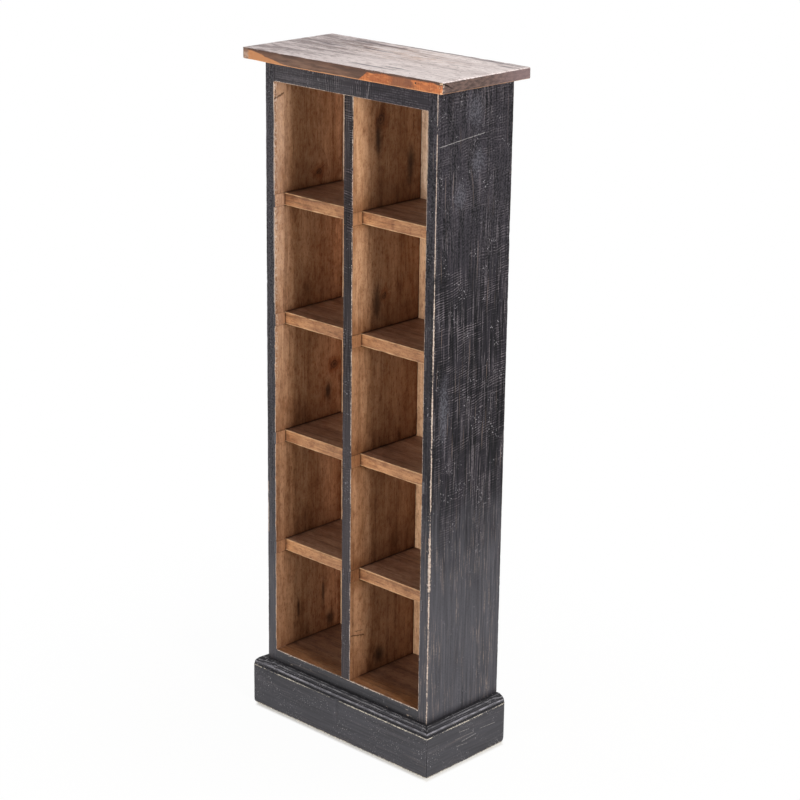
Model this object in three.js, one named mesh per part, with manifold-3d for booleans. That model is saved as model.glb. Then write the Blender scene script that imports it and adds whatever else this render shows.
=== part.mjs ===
// An open storage tower in re-used boards: two columns of five compartments between painted sides,
// standing on a moulded plinth under a thick top board with a waney front edge.
// Millimetres, +Z up, front towards -Y. The origin is under the middle of the overall box, at floor level.
import * as THREE from "three";
import { mergeVertices } from "three/addons/utils/BufferGeometryUtils.js";
import Module from "manifold-3d";

const wasm = await Module();
wasm.setup();

// Carcass
const carcassWidth = 310;
const carcassDepth = 144;
const carcassHeight = 931;
const sideThickness = 16.5;
const dividerThickness = 16;
const floorThickness = 17;
const subTopThickness = 16.5;
const topRailHeight = 26.5;
const topRailThickness = 16.5;

// Shelves, each top at a share of the clear height from the floor board up to the sub-top
const shelfThickness = 17;
const shelfSetback = 19.5;
const leftShelfShares = [0.199, 0.396, 0.602, 0.803];
const rightShelfShares = [0.197, 0.398, 0.602, 0.803];

// Joints: the glue line between mating faces, how deep boards are housed, and the overrun of a cut
const glueGap = 0.25;
const housingDepth = 5;
const rabbetWidth = 8;
const overrun = 2;

// Back boards, lapped over each other and let into a rabbet in the sides
const backThickness = 12;
const backRecess = 2;
const backLap = 8;
const backBoardCount = 3;

// Plinth
const plinthThickness = 16;
const plinthHeight = 70;
const plinthMouldingHeight = 11.5;
const plinthQuirkDepth = 2.2;
const plinthQuirkRise = 1.2;
const plinthOvoloDepth = 7.4;
const plinthFilletHeight = 1.8;
const plinthToeRadius = 4;
const plinthCurveSteps = 6;
const floorLap = 1.2; // how far the plinth's top edge stands up over the floor board's lower arris

// Base, out of sight behind the plinth
const baseRailThickness = 16.5;
const cornerBlockSize = 22;

// Top board
const topThickness = 15.5;
const topOverhangLeft = 29;
const topOverhangRight = 21;
const topOverhangFront = 16.5;
const topOverhangBack = 8;
const topCornerRadius = 4;
const topCornerSteps = 3;
const waneBow = 2; // how far the waney face stands out past the top arris at its fullest

// The waney front edge, station by station from the left end: the place as a share of the top board's
// length, the bow as a share of waneBow, and the height of the crease where the wane meets the sawn face
// as a share of the thickness
const stationShares = [0.05, 0.11, 0.17, 0.24, 0.32, 0.41, 0.5, 0.6, 0.64, 0.8, 0.94];
const bowShares = [0.12, 0.45, 0.75, 0.95, 1, 0.9, 0.72, 0.5, 0.4, 0.2, 0.1];
const creaseShares = [0.95, 0.68, 0.4, 0.12, 0.08, 0.1, 0.08, 0.12, 0.92, 0.95, 0.95];

// Screws
const screwRadius = 1.75;
const screwHeadRadius = 3.6;
const screwHeadHeight = 2.4;
const screwTipLength = 3;
const screwSides = 12;
const topScrewBite = 9.5; // how deep a screw enters the second of the two pieces that it joins
const backScrewBite = 16;
const topScrewAcrossShare = 0.62;
const topScrewDepthShare = 0.5;
const dividerScrewShares = [0.1, 0.9];

// Faces and levels worked out from the sizes above
const sideX = carcassWidth / 2;
const innerX = sideX - sideThickness;
const dividerX = dividerThickness / 2;
const frontY = -carcassDepth / 2;
const backY = carcassDepth / 2;
const backRearY = backY - backRecess;
const backFaceY = backRearY - backThickness;
const shelfFrontY = frontY + shelfSetback;
const railBackY = frontY + topRailThickness;
const floorUnderZ = plinthHeight - floorLap;
const floorTopZ = floorUnderZ + floorThickness;
const subTopUnderZ = carcassHeight - subTopThickness;
const topRailUnderZ = carcassHeight - topRailHeight;
const topUnderZ = carcassHeight + glueGap;
const clearHeight = subTopUnderZ - floorTopZ;
const topScrewLength = subTopThickness + glueGap + topScrewBite;
const backScrewLength = backThickness + glueGap + backScrewBite;

const colours = {
  paint: { color: 0x48474c, roughness: 0.75, metalness: 0 },
  wallWood: { color: 0x7a5233, roughness: 0.7, metalness: 0 },
  shelfWood: { color: 0xa8774c, roughness: 0.7, metalness: 0 },
  backWood: { color: 0xc8a57d, roughness: 0.7, metalness: 0 },
  topWood: { color: 0xcdc3be, roughness: 0.65, metalness: 0 },
  hiddenWood: { color: 0xb08a62, roughness: 0.8, metalness: 0 },
  steel: { color: 0x8c8a84, roughness: 0.4, metalness: 0.9 },
};

function material(kind) {
  return new THREE.MeshStandardMaterial(colours[kind]);
}

function mesh(name, geometry, kind) {
  const made = new THREE.Mesh(geometry, material(kind));
  made.name = name;
  return made;
}

// A board that fills the box between three pairs of limits
function board(name, x, y, z, kind) {
  const size = [x, y, z].map(([low, high]) => high - low);
  const made = mesh(name, new THREE.BoxGeometry(...size), kind);
  made.position.set((x[0] + x[1]) / 2, (y[0] + y[1]) / 2, (z[0] + z[1]) / 2);
  return made;
}

// A mesh as a solid in the frame of the group that holds it
function solidOf(object) {
  object.updateMatrix();
  const geometry = object.geometry.clone().applyMatrix4(object.matrix);
  geometry.deleteAttribute("normal");
  geometry.deleteAttribute("uv");
  const merged = mergeVertices(geometry);
  return new wasm.Manifold(
    new wasm.Mesh({
      numProp: 3,
      vertProperties: merged.attributes.position.array,
      triVerts: new Uint32Array(merged.index.array),
    }),
  );
}

// Cuts each cutter out of a mesh, which keeps its name, material and place
function carve(object, cutters) {
  const cut = cutters.reduce((rest, tool) => rest.subtract(solidOf(tool)), solidOf(object));
  const { vertProperties, triVerts } = cut.getMesh();
  const geometry = new THREE.BufferGeometry();
  geometry.setAttribute("position", new THREE.BufferAttribute(vertProperties, 3));
  geometry.setIndex(new THREE.BufferAttribute(triVerts, 1));
  geometry.applyMatrix4(object.matrix.clone().invert());
  geometry.computeVertexNormals();
  object.geometry = geometry;
  return object;
}

function cutter(x, y, z) {
  return board("cutter", x, y, z, "hiddenWood");
}

// The limits of a width on one side of the centre plane, from its inner to its outer distance
function onSide(hand, inner, outer) {
  return hand < 0 ? [-outer, -inner] : [inner, outer];
}

function widened([low, high], margin) {
  return [low - margin, high + margin];
}

function shelfTops(shares) {
  return shares.map((share) => floorTopZ + share * clearHeight);
}

const columns = [
  { label: "left", hand: -1, tops: shelfTops(leftShelfShares) },
  { label: "right", hand: 1, tops: shelfTops(rightShelfShares) },
];

// The height that a shelf fills, from its underside to its top
function shelfSpan(top) {
  return [top - shelfThickness, top];
}

// A countersunk screw with its head's flat face at the origin, pointing along +Z. The same outline,
// let out by a margin, is its hole.
function screwGeometry(length, margin) {
  const shank = screwRadius + margin;
  const outline = [
    new THREE.Vector2(0, -margin),
    new THREE.Vector2(screwHeadRadius + margin, -margin),
    new THREE.Vector2(screwHeadRadius + margin, 0),
    new THREE.Vector2(shank, screwHeadHeight),
    new THREE.Vector2(shank, length - screwTipLength),
    new THREE.Vector2(0, length + margin),
  ];
  return new THREE.LatheGeometry(outline, screwSides).rotateX(Math.PI / 2);
}

function driven(object, place, turn) {
  object.position.set(...place);
  object.rotation.x = turn;
  return object;
}

const upwards = 0;
const forwards = Math.PI / 2;

const topScrewPlaces = [-1, 1].flatMap((hand) =>
  [-1, 1].map((row) => {
    const middleY = (railBackY + backFaceY) / 2;
    const reachY = (topScrewDepthShare * (backFaceY - railBackY)) / 2;
    return [hand * topScrewAcrossShare * innerX, middleY + row * reachY, subTopUnderZ];
  }),
);

// The seams between the back boards, and the ends in the rabbets
const backLimitX = innerX + rabbetWidth - glueGap;
const backBoardWidth = (2 * backLimitX) / backBoardCount;

function seam(index) {
  return index * backBoardWidth - backLimitX;
}

const outerBoardX = backLimitX - backBoardWidth / 2;
const floorMiddleZ = floorUnderZ + floorThickness / 2;
const subTopMiddleZ = subTopUnderZ + subTopThickness / 2;
const edgeScrewPlaces = [-1, 1].flatMap((hand) =>
  [floorMiddleZ, subTopMiddleZ].map((z) => [hand * outerBoardX, backRearY, z]),
);
const dividerScrewPlaces = dividerScrewShares.map((share) => [
  0,
  backRearY,
  floorTopZ + share * clearHeight,
]);
const backScrewPlaces = [...edgeScrewPlaces, ...dividerScrewPlaces];

function screwHoles(places, length, turn) {
  return places.map((place) => driven(mesh("hole", screwGeometry(length, glueGap), "steel"), place, turn));
}

const topScrewHoles = screwHoles(topScrewPlaces, topScrewLength, upwards);
const backScrewHoles = screwHoles(backScrewPlaces, backScrewLength, forwards);

// Side panel, with a housing for each shelf, for the floor board and for the sub-top, and a rabbet
// down its back edge
function sidePanel({ label, hand, tops }) {
  const across = onSide(hand, innerX, sideX);
  const housed = onSide(hand, innerX - overrun, innerX + housingDepth);
  const panel = board(`side_panel_${label}`, across, [frontY, backY], [0, carcassHeight], "paint");
  const shelfHousings = tops.map((top) =>
    cutter(housed, [frontY - overrun, backFaceY + overrun], widened(shelfSpan(top), glueGap)),
  );
  const floorSpan = widened([floorUnderZ, floorTopZ], glueGap);
  const floorHousing = cutter(housed, [shelfFrontY, backFaceY + overrun], floorSpan);
  const topHousing = cutter(
    housed,
    [railBackY, backFaceY + overrun],
    [subTopUnderZ - glueGap, carcassHeight + overrun],
  );
  const rabbet = cutter(
    onSide(hand, innerX - overrun, innerX + rabbetWidth),
    [backFaceY - glueGap, backY + overrun],
    [floorUnderZ - glueGap, carcassHeight + overrun],
  );
  return carve(panel, [...shelfHousings, floorHousing, topHousing, rabbet]);
}

// Divider, housed in floor board and sub-top behind its front edge, which butts between floor and rail
function centreDivider() {
  const across = [-dividerX, dividerX];
  const depth = [frontY, backFaceY - glueGap];
  const foot = floorTopZ - housingDepth + glueGap;
  const head = subTopUnderZ + housingDepth - glueGap;
  const divider = board("centre_divider", across, depth, [foot, head], "wallWood");
  const notch = (toY, z) => cutter(widened(across, overrun), [frontY - overrun, toY + glueGap], z);
  const footNotch = notch(shelfFrontY, [foot - overrun, floorTopZ + glueGap]);
  const headNotch = notch(railBackY, [topRailUnderZ - glueGap, head + overrun]);
  const housings = columns.flatMap(({ hand, tops }) =>
    tops.map((top) =>
      cutter(
        onSide(hand, dividerX - housingDepth, dividerX + overrun),
        widened([frontY, backFaceY], overrun),
        widened(shelfSpan(top), glueGap),
      ),
    ),
  );
  return carve(divider, [footNotch, headNotch, ...housings, ...backScrewHoles]);
}

// Housing for one end of the divider, from a place behind the front edge to the back boards
function dividerHousing(fromY, z) {
  return cutter(widened([-dividerX, dividerX], glueGap), [fromY, backFaceY + overrun], z);
}

// Floor board: its front corners are notched, so that its housings in the sides don't show in front
function floorBoard() {
  const reach = innerX + housingDepth - glueGap;
  const thickness = [floorUnderZ, floorTopZ];
  const floor = board("floor_board", [-reach, reach], [frontY, backFaceY - glueGap], thickness, "wallWood");
  const notches = [-1, 1].map((hand) =>
    cutter(
      onSide(hand, innerX - glueGap, reach + overrun),
      [frontY - overrun, shelfFrontY + glueGap],
      widened(thickness, overrun),
    ),
  );
  const housing = dividerHousing(shelfFrontY, [floorTopZ - housingDepth, floorTopZ + overrun]);
  return carve(floor, [...notches, housing, ...backScrewHoles]);
}

function subTop() {
  const reach = innerX + housingDepth - glueGap;
  const depth = [railBackY + glueGap, backFaceY - glueGap];
  const made = board("sub_top", [-reach, reach], depth, [subTopUnderZ, carcassHeight], "wallWood");
  const housing = dividerHousing(railBackY, [subTopUnderZ - overrun, subTopUnderZ + housingDepth]);
  return carve(made, [housing, ...topScrewHoles, ...backScrewHoles]);
}

function topRail() {
  const across = [glueGap - innerX, innerX - glueGap];
  return board("top_rail", across, [frontY, railBackY], [topRailUnderZ, carcassHeight], "paint");
}

// The shelves of one column, lowest first, each housed in its side and in the divider
function shelves({ label, hand, tops }) {
  const across = onSide(hand, dividerX - housingDepth + glueGap, innerX + housingDepth - glueGap);
  const depth = [shelfFrontY, backFaceY - glueGap];
  return tops.map((top, index) =>
    board(`shelf_${label}_${index + 1}`, across, depth, shelfSpan(top), "shelfWood"),
  );
}

// The blocks that plug the housings in front of one column's shelves
function housingFillers({ label, hand, tops }) {
  const depth = [frontY, shelfFrontY - glueGap];
  const atSide = onSide(hand, innerX, innerX + housingDepth - glueGap);
  const atDivider = onSide(hand, dividerX - housingDepth + glueGap, dividerX);
  return tops.flatMap((top, index) => [
    board(`filler_${label}_${index + 1}_side`, atSide, depth, shelfSpan(top), "wallWood"),
    board(`filler_${label}_${index + 1}_divider`, atDivider, depth, shelfSpan(top), "wallWood"),
  ]);
}

// Back boards, numbered from the left, each lapped behind the next one's edge by half the thickness
function backBoards() {
  const middleY = (backFaceY + backRearY) / 2;
  const height = [floorUnderZ, carcassHeight];
  const tall = widened(height, overrun);
  return Array.from({ length: backBoardCount }, (unused, index) => {
    const isFirst = index === 0;
    const isLast = index === backBoardCount - 1;
    const left = isFirst ? seam(index) : seam(index) + glueGap;
    const right = isLast ? seam(index + 1) : seam(index + 1) + backLap;
    const depth = [backFaceY, backRearY];
    const made = board(`back_board_${index + 1}`, [left, right], depth, height, "backWood");
    const rearLap = [left - overrun, seam(index) + backLap + glueGap];
    const frontLap = [seam(index + 1), right + overrun];
    const laps = [];
    if (!isFirst) laps.push(cutter(rearLap, [middleY, backRearY + overrun], tall));
    if (!isLast) laps.push(cutter(frontLap, [backFaceY - overrun, middleY + glueGap], tall));
    return carve(made, [...laps, ...backScrewHoles]);
  });
}

// Section of a plinth board: X is the distance out from the carcass and Y the height. Above the arris
// come a quirk, an ovolo, a small fillet and the flat top edge.
function plinthSection() {
  const arrisHeight = plinthHeight - plinthMouldingHeight;
  const ovoloOut = plinthThickness - plinthQuirkDepth;
  const ovoloBase = arrisHeight + plinthQuirkRise;
  const ovoloRise = plinthHeight - plinthFilletHeight - ovoloBase;
  const filletOut = ovoloOut - plinthOvoloDepth;
  const toe = plinthToeRadius;
  const section = new THREE.Shape();
  section.moveTo(0, 0);
  section.lineTo(plinthThickness - toe, 0);
  section.absarc(plinthThickness - toe, toe, toe, -Math.PI / 2, 0, false);
  section.lineTo(plinthThickness, arrisHeight);
  section.lineTo(ovoloOut, ovoloBase);
  section.absellipse(filletOut, ovoloBase, plinthOvoloDepth, ovoloRise, 0, Math.PI / 2, false);
  section.lineTo(filletOut, plinthHeight);
  section.lineTo(0, plinthHeight);
  return section;
}

// A plinth board that runs towards -Y from the origin with its moulded face towards +X. A mitred end
// runs on by as much as the section stands out there.
function plinthBoard(name, length, { startMitred, endMitred }) {
  const settings = { depth: length, bevelEnabled: false, curveSegments: plinthCurveSteps };
  const geometry = new THREE.ExtrudeGeometry(plinthSection(), settings);
  const position = geometry.attributes.position;
  for (let i = 0; i < position.count; i += 1) {
    const atStart = position.getZ(i) < length / 2;
    const out = position.getX(i);
    if (atStart && startMitred) position.setZ(i, -out);
    if (!atStart && endMitred) position.setZ(i, length + out);
  }
  geometry.computeVertexNormals();
  geometry.rotateX(Math.PI / 2);
  return mesh(name, geometry, "paint");
}

function plinth() {
  const group = new THREE.Group();
  const right = plinthBoard("plinth_right", carcassDepth, { startMitred: false, endMitred: true });
  right.position.set(sideX + glueGap, backY, 0);
  const front = plinthBoard("plinth_front", carcassWidth, { startMitred: true, endMitred: true });
  front.position.set(sideX, frontY - glueGap, 0);
  front.rotation.z = -Math.PI / 2;
  const left = plinthBoard("plinth_left", carcassDepth, { startMitred: true, endMitred: false });
  left.position.set(-sideX - glueGap, frontY, 0);
  left.rotation.z = Math.PI;
  group.add(front, left, right);
  return group;
}

// Rails and corner blocks that carry the floor board between the sides
function base() {
  const group = new THREE.Group();
  const across = [glueGap - innerX, innerX - glueGap];
  const height = [0, floorUnderZ - glueGap];
  const frontDepth = [frontY, frontY + baseRailThickness];
  const backDepth = [backRearY - baseRailThickness, backRearY];
  group.add(board("base_rail_front", across, frontDepth, height, "hiddenWood"));
  group.add(board("base_rail_back", across, backDepth, height, "hiddenWood"));
  const rows = [
    { place: "front", start: frontDepth[1] + glueGap, run: cornerBlockSize },
    { place: "back", start: backDepth[0] - glueGap, run: -cornerBlockSize },
  ];
  for (const { label, hand } of columns) {
    for (const { place, start, run } of rows) {
      const outer = innerX - glueGap;
      const depth = [Math.min(start, start + run), Math.max(start, start + run)];
      const width = onSide(hand, outer - cornerBlockSize, outer);
      group.add(board(`corner_block_${place}_${label}`, width, depth, height, "hiddenWood"));
    }
  }
  return group;
}

// The value of a row of shares at a place between its stations, level beyond the first and last
function between(stations, values, at) {
  const next = stations.findIndex((station) => station >= at);
  if (next === 0) return values[0];
  if (next < 0) return values[values.length - 1];
  const part = (at - stations[next - 1]) / (stations[next] - stations[next - 1]);
  return THREE.MathUtils.lerp(values[next - 1], values[next], part);
}

// How far the rounded plan corner draws the front and back edges in, at a distance from the end
function cornerInset(fromEnd) {
  const radius = topCornerRadius;
  if (fromEnd >= radius) return 0;
  return radius - Math.sqrt(radius ** 2 - (radius - fromEnd) ** 2);
}

// A closed solid through sections with equally many points, each a list of points around +X, with flat ends
function loft(sections) {
  const count = sections[0].length;
  const index = [];
  for (let s = 0; s + 1 < sections.length; s += 1) {
    for (let i = 0; i < count; i += 1) {
      const a = s * count + i;
      const b = s * count + ((i + 1) % count);
      index.push(a, b, a + count, b, b + count, a + count);
    }
  }
  const last = (sections.length - 1) * count;
  for (let i = 1; i + 1 < count; i += 1) {
    index.push(0, i + 1, i);
    index.push(last, last + i, last + i + 1);
  }
  const geometry = new THREE.BufferGeometry();
  geometry.setAttribute("position", new THREE.Float32BufferAttribute(sections.flat(2), 3));
  geometry.setIndex(index);
  geometry.computeVertexNormals();
  return geometry;
}

// Top board: its top arris is straight, and below it the waney face bows out to the front
function topBoard() {
  const leftX = -sideX - topOverhangLeft;
  const length = carcassWidth + topOverhangLeft + topOverhangRight;
  const arrisY = frontY - topOverhangFront + waneBow;
  const rearY = backY + topOverhangBack;
  const corner = Array.from({ length: topCornerSteps + 1 }, (unused, step) =>
    topCornerRadius * (1 - Math.cos((step / topCornerSteps) * (Math.PI / 2))),
  );
  const inner = stationShares.map((share) => share * length);
  const stations = [...corner, ...inner, ...corner.map((distance) => length - distance).reverse()];
  const sections = stations.map((along) => {
    const x = leftX + along;
    const inset = cornerInset(Math.min(along, length - along));
    const share = along / length;
    const bow = waneBow * between(stationShares, bowShares, share);
    const crease = topThickness * between(stationShares, creaseShares, share);
    return [
      [x, rearY - inset, 0],
      [x, rearY - inset, topThickness],
      [x, arrisY + inset, topThickness],
      [x, arrisY - bow + inset, crease],
      [x, arrisY - bow + inset, 0],
    ];
  });
  const made = mesh("top_board", loft(sections), "topWood");
  made.position.z = topUnderZ;
  return carve(made, topScrewHoles);
}

function screws(label, places, length, turn) {
  return places.map((place, index) =>
    driven(mesh(`${label}_${index + 1}`, screwGeometry(length, 0), "steel"), place, turn),
  );
}

const tower = new THREE.Group();
tower.add(topBoard(), subTop(), topRail(), centreDivider(), floorBoard());
for (const column of columns) {
  tower.add(sidePanel(column), ...shelves(column), ...housingFillers(column));
}
tower.add(...backBoards(), plinth(), base());
tower.add(...screws("top_screw", topScrewPlaces, topScrewLength, upwards));
tower.add(...screws("back_screw", backScrewPlaces, backScrewLength, forwards));

// The origin goes under the middle of the overall box, whose limits are the top board's or the plinth's
const plinthReach = glueGap + plinthThickness;
const reach = {
  left: Math.max(topOverhangLeft, plinthReach),
  right: Math.max(topOverhangRight, plinthReach),
  front: Math.max(topOverhangFront, plinthReach),
  back: topOverhangBack,
};
tower.position.set((reach.left - reach.right) / 2, (reach.front - reach.back) / 2, 0);

const root = new THREE.Group();
root.add(tower);
export default root;
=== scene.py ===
"""Looks of the disc storage tower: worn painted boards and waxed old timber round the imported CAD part."""
import math
from functools import reduce

import bpy
import numpy as np
from bpy.props import FloatProperty, FloatVectorProperty, IntProperty, PointerProperty
from mathutils import Matrix, Vector


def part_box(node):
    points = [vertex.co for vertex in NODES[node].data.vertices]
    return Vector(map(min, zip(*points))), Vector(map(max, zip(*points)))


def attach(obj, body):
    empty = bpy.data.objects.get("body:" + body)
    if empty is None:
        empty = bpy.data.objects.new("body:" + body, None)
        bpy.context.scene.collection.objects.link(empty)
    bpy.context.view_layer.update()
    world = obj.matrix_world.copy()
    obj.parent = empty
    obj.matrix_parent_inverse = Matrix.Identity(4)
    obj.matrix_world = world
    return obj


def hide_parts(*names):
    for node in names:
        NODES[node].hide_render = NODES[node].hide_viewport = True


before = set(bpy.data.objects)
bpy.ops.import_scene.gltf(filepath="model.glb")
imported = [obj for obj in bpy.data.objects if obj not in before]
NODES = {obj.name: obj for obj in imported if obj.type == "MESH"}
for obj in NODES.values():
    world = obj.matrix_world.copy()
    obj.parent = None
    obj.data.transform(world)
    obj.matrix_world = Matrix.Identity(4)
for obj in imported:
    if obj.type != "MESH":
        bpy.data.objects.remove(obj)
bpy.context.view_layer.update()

bl_info = {
    "name": "Disc storage tower",
    "version": (1, 0, 0),
    "blender": (4, 5, 0),
    "location": "View3D > Sidebar > Tower",
    "description": "Builds the boards, the finishes and the studio of the storage tower round its CAD frame",
    "category": "Object",
}

MM = 0.001
COLUMNS = ("left", "right")
SHELVES = (1, 2, 3, 4)
GLUE_LINE = 0.25 * MM
ARC_STEPS = 3  # facets across a rounded arris
ARRIS_SWELL = 0.35  # how much an arris swells and shrinks, over these waves
ARRIS_WAVES = (0.11, 0.037, 0.017, 0.009)
HOLLOW_WAVES = ((0.045, 0.21), (0.027, 0.083), (0.013, 0.032))  # round the outline and along the board
NICK_WIDTHS = (2, 6)  # in millimetres, like the depths
NICK_DEPTHS = (0.3, 1.1)


def span(node, axis):
    """Lowest and highest place of a CAD node along an axis, 0 to 2 for X to Z."""
    low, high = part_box(node)
    return low[axis], high[axis]


def corners_of(node):
    """Both corners of a CAD node's box as one array."""
    return np.array([list(corner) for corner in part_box(node)])


def linear(*levels):
    """A colour given as levels from 0 to 255, as the linear values that shaders take."""
    shares = [level / 255 for level in levels]
    return [s / 12.92 if s <= 0.04045 else ((s + 0.055) / 1.055) ** 2.4 for s in shares]


# Shapes: every board is an outline carried along one axis, worked out as whole arrays


def unit(vectors):
    """The same directions with length one."""
    return vectors / np.maximum(np.linalg.norm(vectors, axis=-1, keepdims=True), 1e-12)


def ripple(rng, at, waves):
    """Gentle unevenness from -1 to 1: the mean of sin(2 pi at / wave + phase), each wave's phase random."""
    phases = rng.uniform(0, 2 * math.pi, len(waves))
    return np.sin(2 * math.pi * np.asarray(at)[..., None] / np.array(waves) + phases).mean(-1)


def pulled_in(corners, distance):
    """Outline corners moved inwards by distance (n1 + n2) / (1 + n1.n2), n1 and n2 being the inward normals
    of the two sides that meet there, so that every side moves in by the distance."""
    side = unit(np.roll(corners, -1, 1) - corners)
    normal = np.stack([-side[..., 1], side[..., 0]], -1)
    last = np.roll(normal, 1, 1)
    return corners + distance[:, None, None] * (normal + last) / (1 + (normal * last).sum(-1, keepdims=True))


def side_cuts(length, pitch):
    """Shares of a side's length at which it is cut: close to both ends, and about a pitch apart between."""
    if length < 3 * MM:
        return np.empty(0)
    lip = min(0.8 * MM / length, 0.2)
    return np.linspace(lip, 1 - lip, max(2, round(length / pitch) + 1))


def rounded(corners, radii, pitch):
    """Outline with rounded corners. Corner C becomes (1 - s)^2 A + 2 s (1 - s) C + s^2 B for s from 0 to 1,
    where A and B lie a radius away along its two sides, and each side is cut about a pitch apart."""
    before = np.roll(corners, 1, 1) - corners
    after = np.roll(corners, -1, 1) - corners
    room = 0.45 * np.minimum(np.linalg.norm(before, axis=-1), np.linalg.norm(after, axis=-1))
    reach = np.minimum(radii, room)[..., None]
    first, last = corners + unit(before) * reach, corners + unit(after) * reach
    s = np.linspace(0, 1, ARC_STEPS + 1)[:, None]
    bends = (1 - s) ** 2 * first[:, :, None] + 2 * s * (1 - s) * corners[:, :, None] + s**2 * last[:, :, None]
    middle = len(corners) // 2
    parts, sides = [], []
    for k in range(corners.shape[1]):
        following = first[:, (k + 1) % corners.shape[1]]
        share = side_cuts(np.linalg.norm(following[middle] - last[middle, k]), pitch)[:, None]
        parts += [bends[:, k], last[:, k, None] * (1 - share) + following[:, None] * share]
        sides += [np.full(ARC_STEPS + 1, (k - 0.5) % corners.shape[1]), np.full(len(share), float(k))]
    return np.concatenate(parts, 1), np.concatenate(sides)


def hollowed(rng, outline, at, depth):
    """Outline moved inwards along its normal by depth (1 + w) / 2, where w is a mean of sine waves that run
    both round the outline and along the board, as a plane and a saw leave a board's face."""
    along_ring = np.roll(outline, -1, 1) - np.roll(outline, 1, 1)
    normal = unit(np.stack([-along_ring[..., 1], along_ring[..., 0]], -1))
    middle = outline[len(outline) // 2]
    round_it = np.concatenate([[0], np.cumsum(np.linalg.norm(np.diff(middle, axis=0), axis=1))])
    wave = sum(
        np.sin(round_it[None] * 2 * math.pi / a + at[:, None] * 2 * math.pi / b + rng.uniform(0, 2 * math.pi))
        for a, b in HOLLOW_WAVES
    )
    return outline + normal * (depth * (0.5 + wave / 6))[..., None]


def skin(name, outline, along, axis):
    """Mesh of an outline carried along an axis: point (row, column) is outline[row, column] across the axis
    and along[row, column] on it, and each end is closed by one flat face."""
    rows, columns = outline.shape[:2]
    points = np.empty((rows, columns, 3))
    points[..., axis] = along
    points[..., (axis + 1) % 3] = outline[..., 0]
    points[..., (axis + 2) % 3] = outline[..., 1]
    index = np.arange(rows * columns).reshape(rows, columns)
    turned = np.roll(index, -1, 1)
    quads = np.stack([index[:-1], turned[:-1], turned[1:], index[1:]], -1).reshape(-1, 4)
    mesh = bpy.data.meshes.new(name)
    faces = [*quads.tolist(), index[0, ::-1].tolist(), index[-1].tolist()]
    mesh.from_pydata(points.reshape(-1, 3), [], faces)
    smooth = np.ones(len(mesh.polygons), bool)
    smooth[-2:] = False
    mesh.polygons.foreach_set("use_smooth", smooth)
    return mesh


def plank(name, axis, ends, corners, radii, seed, pitch=3 * MM, cuts=7 * MM, end_radius=0.8 * MM, steps=(),
          hollow=0.15 * MM, nicked=(), nicks_per_metre=16, shear=None):
    """Board: a rounded outline carried from one end to the other. `corners` are the outline's corners,
    anticlockwise about the axis, or a function that gives them for every place along it; `steps` are the
    places where they jump. Near an end the outline is pulled in by R (1 - cos t) at R (1 - sin t) from it.
    The radius of an arris swells and shrinks along the board, and at each nick grows by depth exp(-((place -
    nick) / width)^2)."""
    rng = np.random.default_rng(seed)
    low, high = ends
    turn = np.linspace(math.pi / 2, 0, ARC_STEPS + 1)[:-1]
    run, rise = end_radius * (1 - np.sin(turn)), end_radius * (1 - np.cos(turn))
    body = np.linspace(low + end_radius, high - end_radius, max(2, round((high - low) / pitch) + 1))
    edges = [place + hand * 0.1 * MM for place in steps for hand in (-1, 1)]
    body = np.unique(np.round(np.concatenate([body, edges]), 7))
    at = np.concatenate([low + run, body, high - run[::-1]])
    inset = np.concatenate([rise, np.zeros(len(body)), rise[::-1]])
    base = corners(at) if callable(corners) else np.broadcast_to(corners, (len(at), *np.shape(corners)))
    worn = np.broadcast_to(radii, base.shape[:2]).copy()
    for k in range(base.shape[1]):
        worn[:, k] *= 1 + ARRIS_SWELL * ripple(rng, at, ARRIS_WAVES)
        if k in nicked:
            count = rng.poisson(nicks_per_metre * (high - low)) + 1
            places = rng.uniform(low, high, count)
            widths = rng.uniform(*NICK_WIDTHS, count) * MM
            depths = rng.uniform(*NICK_DEPTHS, count) * MM
            worn[:, k] += (depths * np.exp(-(((at[:, None] - places) / widths) ** 2))).sum(1)
    outline, sides = rounded(pulled_in(base, inset), worn, cuts)
    outline = hollowed(rng, outline, at, hollow)
    along = np.broadcast_to(at[:, None], outline.shape[:2])
    if shear:
        along = shear(along, outline)
    mesh = skin(name, outline, along, axis)
    side = mesh.attributes.new("side", "FLOAT", "POINT")
    side.data.foreach_set("value", np.broadcast_to(sides, outline.shape[:2]).astype(np.float32).ravel())
    return mesh


def box_corners(low, high):
    """The four corners of a rectangle, anticlockwise from its lowest one."""
    return np.array([(low[0], low[1]), (high[0], low[1]), (high[0], high[1]), (low[0], high[1])])


def box_plank(name, node, axis, radius, seed, **settings):
    """Board that fills the box of one CAD node."""
    box = corners_of(node)
    across = [(axis + 1) % 3, (axis + 2) % 3]
    corners = box_corners(*box[:, across])
    return plank(name, axis, box[:, axis], corners, radius, seed, **settings)


def put(name, mesh, finish, slot, *nodes):
    """A finished piece: it takes its finish, stands for its CAD nodes and rides on the part's only body."""
    made = bpy.data.objects.new(name, mesh)
    bpy.context.scene.collection.objects.link(made)
    made.data.materials.append(finish)
    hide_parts(*nodes)
    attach(made, "root")
    return made


# Finishes: shader maths written as Python expressions


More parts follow.
